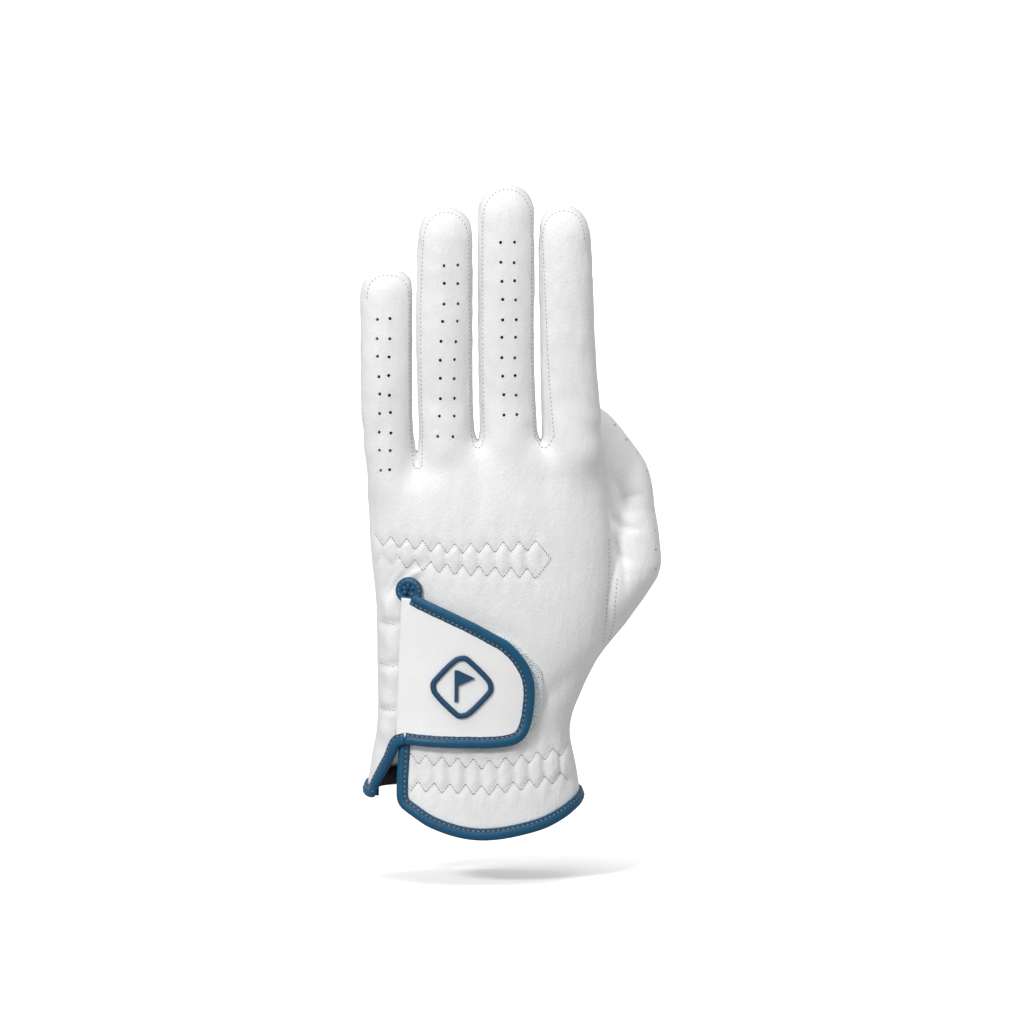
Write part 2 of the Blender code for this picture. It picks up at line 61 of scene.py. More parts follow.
SKIN = 1.0
VOXEL = 1.0
SECTION_POWER = 2.3

# Sections of the hand: height, ulnar side, radial side, back and palm.
HAND_SECTIONS = (
    (-20, -44.6, 34.8, -23.4, 23.4),
    (0, -42.8, 33.0, -22.5, 22.5),
    (12, -41.0, 31.2, -21.4, 21.0),
    (26, -38.6, 29.2, -20.0, 20.0),
    (40, -38.4, 34.0, -19.5, 20.6),
    (55, -38.6, 41.0, -19.0, 21.0),
    (70, -39.0, 43.4, -18.3, 20.6),
    (85, -40.4, 43.6, -17.2, 19.0),
    (100, -41.4, 42.8, -15.5, 16.6),
    (110, -41.6, 41.6, -13.8, 14.2),
    (116, -30.0, 40.6, -12.4, 12.6),
    (121, -24.0, 39.6, -11.0, 11.2),
    (124, -23.0, 38.0, -9.0, 9.2),
)
# Sections of the thumb, one above the other: height, left, right, front and rear.
THUMB_SECTIONS = (
    (33, 26.0, 30.6, 6.0, 14.0),
    (42, 15.0, 35.4, -3.0, 23.0),
    (50, 13.0, 39.7, -5.6, 25.5),
    (60, 14.0, 48.0, -6.6, 28.5),
    (70, 18.0, 55.6, -5.8, 31.5),
    (79, 23.0, 61.0, -2.8, 34.5),
    (90, 29.5, 60.8, 3.0, 36.4),
    (100, 34.0, 59.4, 9.2, 37.2),
    (108, 35.0, 58.5, 12.6, 37.6),
    (116, 33.0, 56.6, 16.0, 38.0),
    (124, 29.0, 51.2, 19.0, 38.4),
    (131, 25.6, 45.8, 21.4, 38.4),
    (135, 26.0, 41.4, 23.8, 37.0),
    (137.4, 29.6, 37.0, 27.4, 33.4),
)

# Fingers: top, half depth, how square and how long the tip is, and the two sides by height. The folds come
# from the frame.
FINGERS = {
    "pinky": dict(
        top=184.8, deep=8.0, tip_power=2.6, tip_length=9.5,
        sides=((96, -39.0, -29.0), (112, -42.0, -24.4), (130, -43.0, -25.3), (150, -43.7, -25.7),
               (176, -43.8, -25.8)),
    ),
    "ring": dict(
        top=206.8, deep=8.9, tip_power=2.2, tip_length=12.0,
        sides=((104, -21, -6), (116, -23.4, -3.1), (130, -24.4, -4.2), (150, -24.9, -4.7), (175, -24.9, -4.8),
               (200, -23.9, -5.0)),
    ),
    "middle": dict(
        top=214.8, deep=9.1, tip_power=2.2, tip_length=12.5,
        sides=((104, 0, 14), (116, -1.8, 18.9), (130, -2.9, 17.8), (150, -3.3, 17.1), (175, -3.4, 16.9),
               (205, -3.4, 16.8)),
    ),
    "index": dict(
        top=207.4, deep=8.9, tip_power=2.3, tip_length=11.5,
        sides=((104, 22, 36), (116, 20.4, 40.4), (130, 19.0, 39.5), (150, 18.2, 37.9), (175, 17.9, 36.6),
               (200, 17.8, 35.4)),
    ),
}
FINGER_CURL = 6.0
# The height below which each finger is part of the hand's piece, and how far its base bends above that.
ROOT_RING = {"pinky": 117.5, "ring": 127.5, "middle": 127.5, "index": 127.5}
ROOT_BEND, MIDDLE_BEND = 15.0, 9.0
# The sides of each finger that have a strip let in, -1 for the ulnar side and 1 for the radial side.
STRIP_SIDES = {"pinky": (1,), "ring": (-1, 1), "middle": (-1, 1), "index": (-1,)}
SIDE_NAMES = {-1: "ulnar", 1: "radial"}

# What the smoothing takes off the fingers, and is given back.
FINGER_REGAIN = 0.7
# While the skin is joined the fingers are spread this far apart, each gap opening above its own height.
SPREAD, SPREAD_RISE = 3.2, 14.0
GAP_OPENS = {"pinky": 107.0, "ring": 118.5, "middle": 118.5}

# The cuff's lower edge: side distance, height on the back, height on the palm.
CUFF = ((-46, 1.6, 2.6), (-36, 1.2, 3.2), (-29, 0, 3), (-20, -7.2, 1), (-3, -11.8, -1), (17, -9.0, -1.5),
        (27, -4.6, -1), (36, 2, 2))
# The slit's two edges: height, ulnar side, radial side.
SLIT = ((-30, -52.0, -28.6), (3, -40.8, -29.8), (22, -32.2, -29.0), (73, -29.6, -27.0))
SLIT_TOP = 73.0

# Three points of the thumb's seam, with the joint's axis on the first two, and the way the thumb points.
SEAM_LOW, SEAM_HIGH, SEAM_PALM = np.array([(37.0, -8.0, 40.0), (45.0, -7.5, 98.0), (20.0, 24.0, 60.0)])
THUMB_LIMB = np.array((-0.16, 0.22, 0.96))

# The elastic zones: left end, right end, heights of the two zigzag rows at their ends and in the middle,
# half height and pitch of the zigzags.
KNUCKLE_ZONE = dict(
    left=-39.0, right=16.8, upper=(91.8, 89.2, 90.3), lower=(85.0, 82.0, 80.6), half=2.0, pitch=5.64,
)
CUFF_ZONE = dict(left=-26.6, right=28.4, upper=(16.1, 14.2, 18.4), lower=(6.6, 5.4, 9.4), half=1.9, pitch=5.5)
# Where the knuckle's two rows meet, and where its lower row begins.
ARROW_TIP = (22.4, 85.6)
LOWER_ROW_START = -32.0

# Creases and folds of the back in front view: line, width, and depth or height.
BACK_CREASES = (
    (((-34.4, 71), (-31.4, 77), (-26.5, 81), (-22, 85)), 0.9, 0.9),
    (((-36, 73), (-33.4, 79), (-29.4, 84)), 0.8, 0.45),
    (((-38.6, 112), (-40.0, 100), (-40.4, 89)), 1.1, 0.5),
    (((4, 30), (16, 34), (27, 42), (35, 50)), 3.5, 0.7),
    (((-14, 68.5), (2, 62), (14, 55)), 3.0, 0.35),
)
BACK_FOLDS = (
    (((-31, 74), (-27.4, 79.4), (-21, 82.5)), 1.2, 0.6),
    (((-34, 72), (-34.5, 66), (-34, 60)), 1.5, 0.3),
    (((-12, 18.9), (0, 18.0), (8, 18.6), (15, 21.4)), 1.2, 0.6),
)
THUMB_CREASES = (
    (((45.4, 112), (47.2, 105), (50, 99)), 1.5, 0.9),
    (((43, 99), (48, 95.4), (54, 94)), 1.3, 1.0),
    (((43.6, 91), (47, 86), (51, 83)), 1.6, 1.1),
    (((46.5, 88), (48.2, 81), (48.6, 73)), 1.3, 0.8),
    (((45.5, 103), (50, 105.4), (55, 106)), 1.6, 0.5),
)
# Rows of small stitches that gather the strip on the ulnar side of the slit.
GATHER_LEVELS = (62.7, 48.0, 32.6)

# The columns of vent holes on the fingers' backs in front view: top, bottom and number of holes.
VENT_COLUMNS = (
    ((-38.2, 168.4), (-37.1, 116.2), 9), ((-34.0, 168.4), (-33.6, 116.2), 9),
    ((-14.7, 187.3), (-17.0, 128.1), 10), ((-9.7, 187.3), (-11.8, 128.1), 10),
    ((5.0, 195.0), (5.7, 135.6), 10), ((9.8, 195.0), (10.2, 135.6), 10),
)
THUMB_VENTS = ((45.2, 130), (49.6, 125), (53.6, 119.9), (56.4, 114.1), (57.8, 107.5), (58.8, 100.5),
               (59.4, 93.5), (59.8, 86.5), (59.4, 80.5))
# The thumb's skin is left out where it lies deeper than this inside the hand.
HIDDEN_MARGIN = 2.5

# The stitches of the seams, how high their middles lie on the leather, and the lowest one in each web.
STITCH = dict(length=0.85, pitch=1.5, radius=0.15)
STITCH_LIFT = 0.04
WEB_STITCH = {"pinky": 116.4, "ring": 123.6, "middle": 123.6}

# The tab: how far its underside lies over the hand, its thickness, and the free edge's corners in front view.
TAB_UNDER, TAB_THICK = 1.75, 1.3
TAB_EDGE = ((-29.2, 72.0), (-25.8, 71.6), (-23.2, 70.1), (-14, 65.9), (-5.7, 62.0), (1, 58.4), (7.1, 54.7),
            (12.3, 48.3), (14.4, 42.2), (14.2, 34.0), (12.6, 26.8), (9.9, 23.7), (3.3, 22.4), (-6.6, 22.3),
            (-18, 22.5), (-28, 23.2), (-31.0, 23.2))
LOOP_EDGE = ((4.2, 59.2), (12, 54.4), (18.4, 47.2), (19.3, 41), (19.0, 35), (16.8, 26.2), (12, 24.4), (2, 25),
             (-5, 31), (-6, 45), (-3, 56))
HOOK_EDGE = ((0, 30), (8, 29), (11, 33), (11, 42), (8, 47), (0, 50), (-3, 40))
# The badge, and its flag's corners from its centre.
BADGE_CENTRE, BADGE_SIZE = np.array((-8.6, 41.5)), 11.5
FLAG = ((-2.6, -5.2), (-1.3, -5.2), (-1.3, 0.4), (4.6, 3.0), (-1.3, 5.8), (-2.6, 5.8))
# The binding's profile: across the edge, and away from the leather. The lip carries the stitches.
BINDING_PROFILE = ((-2.15, 0.0), (-2.05, 0.6), (-1.7, 1.1), (-1.1, 1.42), (-0.3, 1.5), (0.4, 1.3),
                   (0.85, 0.95), (1.1, 0.72), (1.35, 0.76), (1.8, 0.74), (2.1, 0.55), (2.15, 0.1),
                   (1.9, -0.5), (1.0, -0.95), (-0.6, -1.1), (-1.6, -0.85), (-2.05, -0.45))
LIP = 1.12
# The gathered end of the binding at the slit's top.
KNOT, KNOT_RADIUS = np.array((-27.1, 74.5)), 3.2

# The floor's height, and the camera: where it looks and from how far in metres, its lift and its lens.
FLOOR = -28.0
CAMERA_TARGET, CAMERA_AWAY = Vector((0.00875, 0.0, 0.1008)), 1.991
CAMERA_LIFT, CAMERA_LENS = 4.0, 200


def joint_place(name):
    """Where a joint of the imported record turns, in mm."""
    found = next(j for j in frame["record"]["behaviour"]["joints"] if j["name"] == name)
    return np.array(found["pos_m"]) / MM


# Curves


def read_curve(table, at):
    """The values of a table's rows at one value of their first column, on a smooth curve."""
    keys = [row[0] for row in table]
    rows = [np.array(row[1:], float) for row in table]
    at = min(max(at, keys[0]), keys[-1])
    i = min(max(k for k in range(len(keys)) if keys[k] <= at), len(keys) - 2)
    span = keys[i + 1] - keys[i]
    t = (at - keys[i]) / span

    def slope(k):
        low, high = max(k - 1, 0), min(k + 1, len(keys) - 1)
        return (rows[high] - rows[low]) / (keys[high] - keys[low]) * span

    start, leave = (1 + 2 * t) * (1 - t) ** 2, t * (1 - t) ** 2
    end, arrive = t * t * (3 - 2 * t), t * t * (t - 1)
    return start * rows[i] + leave * slope(i) + end * rows[i + 1] + arrive * slope(i + 1)


def read_many(table, values, column=0, count=150):
    """One column of a table, read on its smooth curve at many values."""
    keys = np.linspace(table[0][0], table[-1][0], count)
    return np.interp(values, keys, [read_curve(table, k)[column] for k in keys])


def smooth_line(points, count=40, closed=False):
    """A smooth line through a few points."""
    points = np.array(points, float)
    if closed:
        points = np.vstack([points[-2:], points, points[:3]])
    steps = np.linalg.norm(np.diff(points, axis=0), axis=1)
    along = np.concatenate([[0], np.cumsum(steps)])
    table = [(s, *p) for s, p in zip(along, points)]
    if closed:
        places = np.linspace(along[2], along[-3], count, endpoint=False)
    else:
        places = np.linspace(0, along[-1], count)
    return np.array([read_curve(table, s) for s in places])


def even_line(line, step):
    """The line read again at even steps."""
    line = np.array(line, float)
    along = np.concatenate([[0], np.cumsum(np.linalg.norm(np.diff(line, axis=0), axis=1))])
    places = np.linspace(0, along[-1], max(2, round(along[-1] / step) + 1))
    return np.array([np.interp(places, along, line[:, k]) for k in range(line.shape[1])]).T


def smoothstep(low, high, value):
    """A soft step from 0 at low to 1 at high."""
    t = np.clip((value - low) / (high - low), 0, 1)
    return t * t * (3 - 2 * t)


def bump(value, centre, width):
    """A soft bump, 1 at its centre."""
    return np.exp(-(((value - centre) / width) ** 2))


def unit(vectors):
    return vectors / np.linalg.norm(vectors, axis=-1, keepdims=True)


# Meshes


def superellipse(angle, power=SECTION_POWER):
    """A place at an angle on a unit superellipse: a circle at power 2, squarer above it."""
    c, s = math.cos(angle), math.sin(angle)
    return math.copysign(abs(c) ** (2 / power), c), math.copysign(abs(s) ** (2 / power), s)


def section_ring(left, right, back, palm, widest, z, count=40):
    """A level section between its sides, its back and its palm, widest at one depth."""
    ring = []
    for i in range(count):
        across, out = superellipse(2 * math.pi * i / count)
        deep = palm - widest if out > 0 else widest - back
        ring.append(((left + right) / 2 + (right - left) / 2 * across, widest + deep * out, z))
    return ring


def loft(bm, rings):
    """A closed tube through rings of points, capped at both ends."""
    made = [[bm.verts.new(p) for p in ring] for ring in rings]
    for low, high in zip(made, made[1:]):
        for i in range(len(low)):
            j = (i + 1) % len(low)
            bm.faces.new((low[i], low[j], high[j], high[i]))
    bm.faces.new(list(reversed(made[0])))
    bm.faces.new(made[-1])


def mesh_from(points, faces):
    mesh = bpy.data.meshes.new("work")
    mesh.from_pydata([tuple(p) for p in points], [], [tuple(int(i) for i in f) for f in faces])
    mesh.update()
    return mesh


def mesh_points(mesh):
    points = np.empty(len(mesh.vertices) * 3)
    mesh.vertices.foreach_get("co", points)
    return points.reshape(-1, 3)


def mesh_normals(mesh):
    normals = np.empty(len(mesh.vertices) * 3)
    mesh.vertex_normals.foreach_get("vector", normals)
    return normals.reshape(-1, 3)


def set_points(mesh, points):
    mesh.vertices.foreach_set("co", np.asarray(points, float).ravel())
    mesh.update()


def remesh(bm):
    """One even, closed mesh round everything in bm, slightly smoothed."""
    mesh = bpy.data.meshes.new("rough")
    bm.to_mesh(mesh)
    bm.free()
    steps = (("REMESH", dict(mode="VOXEL", voxel_size=VOXEL)), ("SMOOTH", dict(factor=0.5, iterations=8)))
    for kind, settings in steps:
        obj = bpy.data.objects.new("work", mesh)
        bpy.context.scene.collection.objects.link(obj)
        step = obj.modifiers.new("work", kind)
        for name, value in settings.items():
            setattr(step, name, value)
        ready = obj.evaluated_get(bpy.context.evaluated_depsgraph_get())
        mesh = bpy.data.meshes.new_from_object(ready)
        bpy.data.objects.remove(obj)
    return mesh


def soften(mesh, weight, rounds):
    """Smooths the mesh where the weight is high."""
    edges = np.empty(len(mesh.edges) * 2, int)
    mesh.edges.foreach_get("vertices", edges)
    a, b = edges.reshape(-1, 2).T
    points = mesh_points(mesh)
    count = np.bincount(np.concatenate([a, b]), minlength=len(points))[:, None]
    for _ in range(rounds):
        total = np.zeros_like(points)
        np.add.at(total, a, points[b])
        np.add.at(total, b, points[a])
        points += (total / count - points) * 0.5 * weight[:, None]
    set_points(mesh, points)


def add_piece(name, mesh, finish):
    """A piece from a finished mesh in mm, with its material."""
    mesh.transform(Matrix.Scale(MM, 4))
    mesh.materials.clear()
    mesh.materials.append(finish)
    mesh.name = name
    obj = bpy.data.objects.new(name, mesh)
    bpy.context.scene.collection.objects.link(obj)
    return obj


# The skins' shapes


def finger_facts(name):
    """A finger's folds from the frame, with its shape from this file."""
    facts = dict(FINGERS[name])
    facts["name"] = name
    facts["root"] = joint_place(f"{name}_root_bends")
    facts["middle"] = joint_place(f"{name}_middle_bends")
    return facts


FACTS = {name: finger_facts(name) for name in FINGERS}
MIDDLE_RING = {name: FACTS[name]["middle"][2] - MIDDLE_BEND for name in FINGERS}
THUMB_KNUCKLE = joint_place("thumb_knuckle_bends")


def finger_lean(facts, z):
    """How far the finger's middle line curls to the palm at a height."""
    base = facts["root"][2]
    return FINGER_CURL * np.clip((z - base) / (facts["top"] - base), 0, 1) ** 2


def finger_rings(facts):
    """A finger's sections, from well inside the hand, where they swell, to its domed tip."""
    base, top, dome = facts["root"][2] - 22, facts["top"], facts["tip_length"]
    levels = [(z, 1.0) for z in np.arange(base, top - dome, 4.0)]
    for turn in np.radians(np.linspace(0, 88, 12)):
        rise = math.sin(turn) ** (2 / facts["tip_power"])
        share = math.cos(turn) ** (2 / facts["tip_power"])
        levels.append((top - dome + dome * rise, share))
    rings = []
    for z, share in levels:
        left, right = read_curve(facts["sides"], z)
        share = share * (0.72 + 0.28 * smoothstep(base, base + 14, z))
        centre, wide = (left + right) / 2, (right - left) / 2 * share
        lean = finger_lean(facts, z)
        swell = 0.36 * (1 - smoothstep(facts["root"][2] - 16, facts["root"][2] + 12, z))
        deep = facts["deep"] * share * (1 + swell - 0.10 * smoothstep(0.5, 1, (z - base) / (top - base)))
        rings.append(section_ring(centre - wide, centre + wide, lean - deep, lean + deep, lean, z))
    return rings


def spread_shift(x, z, spread_already=False):
    """How far each place moves sideways when the fingers are spread."""
    names = list(FINGERS)
    opens = [SPREAD * smoothstep(GAP_OPENS[n], GAP_OPENS[n] + SPREAD_RISE, z) for n in names[:3]]
    so_far = -opens[0] - 0.5 * opens[1]
    shift = so_far
    for low_name, high_name, width in zip(names, names[1:], opens):
        low = read_many(FINGERS[low_name]["sides"], z, 1)
        high = read_many(FINGERS[high_name]["sides"], z, 0)
        if spread_already:
            low, high = low + so_far, high + so_far + width
        shift = shift + width * np.clip((x - low) / (high - low), 0, 1)
        so_far = so_far + width
    return shift


def make_hand_blank():
    """The hand and its fingers as one smooth closed shape."""
    bm = bmesh.new()
    rings = []
    for z in np.arange(-20, 123.6, 4.0).tolist() + [123.8]:
        left, right, back, palm = read_curve(HAND_SECTIONS, z)
        rings.append(section_ring(left, right, back, palm, 0, z, 64))
    loft(bm, rings)
    for facts in FACTS.values():
        loft(bm, finger_rings(facts))
    places = np.array([v.co for v in bm.verts])
    for vert, shift in zip(bm.verts, spread_shift(places[:, 0], places[:, 2])):
        vert.co.x += shift
    bmesh.ops.recalc_face_normals(bm, faces=bm.faces)
    mesh = remesh(bm)
    z = mesh_points(mesh)[:, 2]
    soften(mesh, smoothstep(92, 106, z) * (1 - smoothstep(124, 136, z)), 60)
    points, normals = mesh_points(mesh), mesh_normals(mesh)
    points += normals * (FINGER_REGAIN * smoothstep(112, 126, points[:, 2]))[:, None]
    points[:, 0] -= spread_shift(points[:, 0], points[:, 2], spread_already=True)
    set_points(mesh, points)
    return mesh


def make_thumb_blank():
    """The thumb as one smooth closed shape, which starts inside the hand."""
    bm = bmesh.new()
    rings = []
    for z in np.arange(33, 136, 4).tolist() + [134.5, 136, 137, 137.4]:
        left, right, front, rear = read_curve(THUMB_SECTIONS, z)
        rings.append(section_ring(left, right, front, rear, (front + rear) / 2, z))
    loft(bm, rings)
    bmesh.ops.recalc_face_normals(bm, faces=bm.faces)
    return remesh(bm)


# Relief: a height along each point's normal


def line_distance(points, line):
    """Each point's distance to a line, and how far along the line its nearest place is, from 0 to 1."""
    line = np.array(line, float)
    lengths = np.linalg.norm(np.diff(line, axis=0), axis=1)
    before = np.concatenate([[0], np.cumsum(lengths)])
    nearest = np.full(len(points), np.inf)
    along = np.zeros(len(points))
    for a, b, length, start in zip(line, line[1:], lengths, before):
        share = np.clip((points - a) @ (b - a) / length**2, 0, 1)
        distance = np.linalg.norm(points - (a + share[:, None] * (b - a)), axis=1)
        closer = distance < nearest
        nearest[closer] = distance[closer]
        along[closer] = (start + share[closer] * length) / before[-1]
    return nearest, along


def crease(points, line, width, depth):
    """A valley along a line in front view, fading out at both ends."""
    distance, along = line_distance(points[:, [0, 2]], smooth_line(line))
    fade = np.sin(np.pi * np.clip(along, 0.02, 0.98)) ** 0.5
    return -depth * fade * np.exp(-((distance / width) ** 2))


def fold(points, line, width, height):
    """A raised fold with a valley on each side."""
    distance, along = line_distance(points[:, [0, 2]], smooth_line(line))
    fade = np.sin(np.pi * np.clip(along, 0.02, 0.98)) ** 0.7
    ridge = np.exp(-((distance / width) ** 2)) - 0.6 * np.exp(-(((distance - 1.8 * width) / width) ** 2))
    return height * fade * ridge


def zone_row(zone, row, x):
    """The middle height of a zigzag row at side distances."""
    ends = (zone["left"], (zone["left"] + zone["right"]) / 2, zone["right"])
    return np.interp(x, ends, zone[row])


def zigzag(zone, row):
    """A zigzag row's corners in front view. The lower row mirrors the upper one."""
    count = round((zone["right"] - zone["left"]) / (zone["pitch"] / 2))
    sign = 1 if row == "upper" else -1
    corners = []
    for i, x in enumerate(np.linspace(zone["left"], zone["right"], count + 1)):
        turn = sign * (-1) ** (i + count)
        corners.append((x, zone_row(zone, row, x) + turn * zone["half"]))
    return corners


def elastic_relief(points, zone, height):
    """Puffed cells between two zigzag rows, drawn in along the stitching."""
    x, z = points[:, 0], points[:, 2]
    upper, lower = zone_row(zone, "upper", x), zone_row(zone, "lower", x)
    middle, reach = (upper + lower) / 2, (upper - lower) / 2
    inside = smoothstep(zone["left"] - 3, zone["left"] + 2, x)
    inside = inside * (1 - smoothstep(zone["right"] + 1, zone["right"] + 4, x))
    wander = 0.05 * np.sin(x * 1.7) + 0.05 * np.sin(x * 0.9 + 2)
    cell = np.abs(np.cos(np.pi * ((x - zone["right"]) / zone["pitch"] + wander)))
    band = 1 - smoothstep(0.6, 1.35, np.abs(z - middle) / reach)
    relief = height * inside * band * (cell**0.7 - 0.6)
    relief += 0.10 * inside * band * np.sin(x * 5.2 + 1.5 * np.sin(z * 0.7))
    for row in ("upper", "lower"):
        distance, _ = line_distance(points[:, [0, 2]], zigzag(zone, row))
        relief -= 0.38 * inside * np.exp(-((distance / 0.8) ** 2))
        outer = zone_row(zone, row, x) + (1 if row == "upper" else -1) * (zone["half"] + 2.4)
        relief += 0.3 * inside * bump(z, outer, 2.2) * (0.6 - cell)
    return relief


def strip_relief(points):
    """The puffed strip of leather on the ulnar side of the slit, gathered at three rows of small stitches."""
    x, z = points[:, 0], points[:, 2]
    along = smoothstep(18, 27, z) * (1 - smoothstep(70, 76, z))
    edge = read_many(SLIT, z, 0)
    puff = 1.3 * bump(x, edge - 3.2, 2.8)
    for level in GATHER_LEVELS:
        puff -= 1.0 * bump(z, level + 0.05 * (x + 35), 1.3) * bump(x, edge - 4, 5)
    twist = 0.22 * np.sin(0.55 * z + 0.5 * x) * bump(x, edge - 4, 4)
    return along * (puff + twist)


def seam_inset(facts, side, z):
    """How far inside the finger's outline its seam runs in front view.

    The index's seam bears away from its outline towards the root.
    """
    if facts["name"] == "index":
        return 1.0 + 3.0 * (1 - np.clip((z - 125) / 78, 0, 1))
    return 1.6 if side < 0 else 1.0


def strip_reach(facts, side, z):
    """How far from the finger's middle plane the seams of its let-in side strips lie."""
    share = 1 - seam_inset(facts, side, z) / 9.6
    reach = facts["deep"] * (1 - share**SECTION_POWER) ** (1 / SECTION_POWER)
    return reach * (1 - 0.7 * smoothstep(facts["top"] - 14, facts["top"] - 4, z))


def finger_seams(points, name):
    """A finger's let-in side strips lie a little below the back and the palm, with a groove at the seam."""
    facts = FACTS[name]
    x, y, z = points.T
    low = ROOT_RING[name] - 3
    left, right = read_many(facts["sides"], z, 0), read_many(facts["sides"], z, 1)
    own = (z > low) & (x > left - 2) & (x < right + 2)
    depth = np.abs(y - finger_lean(facts, z))
    fade = smoothstep(low, low + 6, z) * (1 - smoothstep(facts["top"] - 6, facts["top"] - 3, z))
    relief = np.zeros(len(points))
    for side in STRIP_SIDES[name]:
        facing = own & ((x - (left + right) / 2) * side > 0)
        reach = strip_reach(facts, side, z)
        sunk = 0.3 * (1 - smoothstep(reach - 0.6, reach + 0.4, depth)) + 0.3 * bump(depth, reach, 0.6)
        relief -= np.where(facing, sunk * fade, 0)
    return relief


def wrinkles(points, size, seed):
    """Smooth noise at each point; size is the wrinkles' size along the three axes."""
    offset = Vector((seed * 17.3, seed * 5.1, seed * 9.7))
    return np.array([noise.noise(Vector(p) + offset) for p in points / np.array(size)])


def hand_relief(points, normals):
    """Everything that stands up or sinks in on the hand's skin."""
    x, y, z = points.T
    back = smoothstep(0.05, 0.6, -normals[:, 1])
    height = np.zeros(len(points))
    # The knuckles stand up a little, with a hollow under each web.
    knuckles = smoothstep(90, 112, z) * (1 - smoothstep(126, 142, z)) * back
    for name in FINGERS:
        left, right = read_curve(FINGERS[name]["sides"], 128)
        height += knuckles * 0.3 * bump(x, (left + right) / 2, 5.5)
    for web_x in (-25.0, -3.0, 20.2):
        height -= knuckles * 0.45 * bump(x, web_x, 3.6)
    on_back = back * (z < 108) * (y < 2)
    height += on_back * elastic_relief(points, KNUCKLE_ZONE, 0.9)
    height += on_back * elastic_relief(points, CUFF_ZONE, 0.85)
    height += on_back * strip_relief(points)
    for line, width, depth in BACK_CREASES:
        height += back * crease(points, line, width, depth)
    for line, width, rise in BACK_FOLDS:
        height += back * fold(points, line, width, rise)
    for name in FINGERS:
        height += finger_seams(points, name)
    height += 0.30 * wrinkles(points, (16, 16, 24), 1)
    height += 0.12 * wrinkles(points, (5, 5, 9), 2)
    # The fingers' fine wrinkles run aslant.
    slanted = points + points[:, [2, 0, 0]] * (0.35, 0, 0)
    height += smoothstep(118, 132, z) * 0.2 * wrinkles(slanted, (2.6, 2.6, 7), 3)
    return height


def thumb_relief(points, normals):
    """The creases and wrinkles of the thumb's skin."""
    facing = smoothstep(-0.1, 0.4, -normals[:, 1])
    height = np.zeros(len(points))
    for line, width, depth in THUMB_CREASES:
        height += facing * crease(points, line, width, depth)
    height += 0.30 * wrinkles(points, (16, 16, 24), 1)
    height += 0.12 * wrinkles(points, (5, 5, 9), 2)
    return height


def make_skin(blank, relief):
    """A closed skin: the blank moved along its normals by the relief."""
    mesh = blank.copy()
    points, normals = mesh_points(mesh), mesh_normals(mesh)
    set_points(mesh, points + normals * relief(points, normals)[:, None])
    layer = mesh.attributes.new("skin_normal", "FLOAT_VECTOR", "POINT")
    layer.data.foreach_set("vector", mesh_normals(mesh).ravel())
    return mesh


class Surface:
    """Finds places on a closed mesh seen from the back or from the palm."""

    def __init__(self, mesh):
        bm = bmesh.new()
        bm.from_mesh(mesh)
        self.tree = BVHTree.FromBMesh(bm)
        bm.free()

    def seen(self, x, z, side=-1):
        """The first place met from the back (side -1) or the palm (side 1), and the normal there."""
        place, normal, _, _ = self.tree.ray_cast(Vector((x, side * 200, z)), Vector((0, -side, 0)))
        if place is None:
            place, normal, _, _ = self.tree.find_nearest(Vector((x, side * 10, z)))
        return np.array(place), np.array(normal)

    def draped(self, line, lift=0.0, side=-1):
        """A line in front view laid on the surface, with the normals under it."""
        found = [self.seen(x, z, side) for x, z in line]
        places = np.array([f[0] for f in found])
        normals = np.array([f[1] for f in found])
        for _ in range(3):
            normals[1:-1] = unit(normals[:-2] + 2 * normals[1:-1] + normals[2:])
        return places + normals * lift, normals


# Cutting the skins and dividing them into pieces


def cut_along(bm, axis, offset, chosen=None, clear=False):
    """Cuts the chosen faces where one coordinate equals offset(place), and may clear what lies below that."""
    for vert in bm.verts:
        vert.co[axis] -= offset(vert.co)
    faces = [f for f in bm.faces if chosen is None or chosen(f)]
    edges = dict.fromkeys(e for f in faces for e in f.edges)
    verts = dict.fromkeys(v for f in faces for v in f.verts)
    way = [0, 0, 0]
    way[axis] = 1
    bmesh.ops.bisect_plane(bm, geom=faces + list(edges) + list(verts), dist=1e-4, plane_co=(0, 0, 0),
                           plane_no=way, clear_inner=clear)
    for vert in bm.verts:
        vert.co[axis] += offset(vert.co)


CUFF_X = np.linspace(-46, 36, 200)
CUFF_BACK, CUFF_PALM = (np.array([read_curve(CUFF, x)[k] for x in CUFF_X]) for k in (0, 1))


def cuff_height(place):
    """The height of the cuff's lower edge at a place's side distance and depth."""
    share = float(smoothstep(-10, 10, place[1]))
    back = np.interp(place[0], CUFF_X, CUFF_BACK)
    palm = np.interp(place[0], CUFF_X, CUFF_PALM)
    return (1 - share) * back + share * palm


SLIT_Z = np.linspace(SLIT[0][0], SLIT[-1][0], 200)
SLIT_EDGES = np.array([read_curve(SLIT, z) for z in SLIT_Z])


def slit_edge(side, z):
    """Where the slit's ulnar edge (side 0) or radial edge (side 1) runs at a height."""
    return np.interp(z, SLIT_Z, SLIT_EDGES[:, side])


def punch_hole(bm, tree, verts, centre, normal, radius=0.6):
    """Opens a round hole by taking out the regular corner of the mesh nearest to a place on the skin."""
    for _, index, _ in tree.find_n(centre, 8):
        vert = verts[index]
        if not vert.is_valid or vert.is_boundary or [len(f.verts) for f in vert.link_faces] != [4] * 4:
            continue
        ring = {v for f in vert.link_faces for v in f.verts} - {vert}
        middle = vert.co.copy()
        bm.verts.remove(vert)
        for v in ring:
            way = v.co - middle
            way -= normal * way.dot(normal)
            v.co = Vector(centre) + way.normalized() * radius - normal * 0.1
        return


def vent_places():
    """The vent holes of the fingers' backs in front view."""
    return [place for top, bottom, count in VENT_COLUMNS for place in np.linspace(top, bottom, count)]


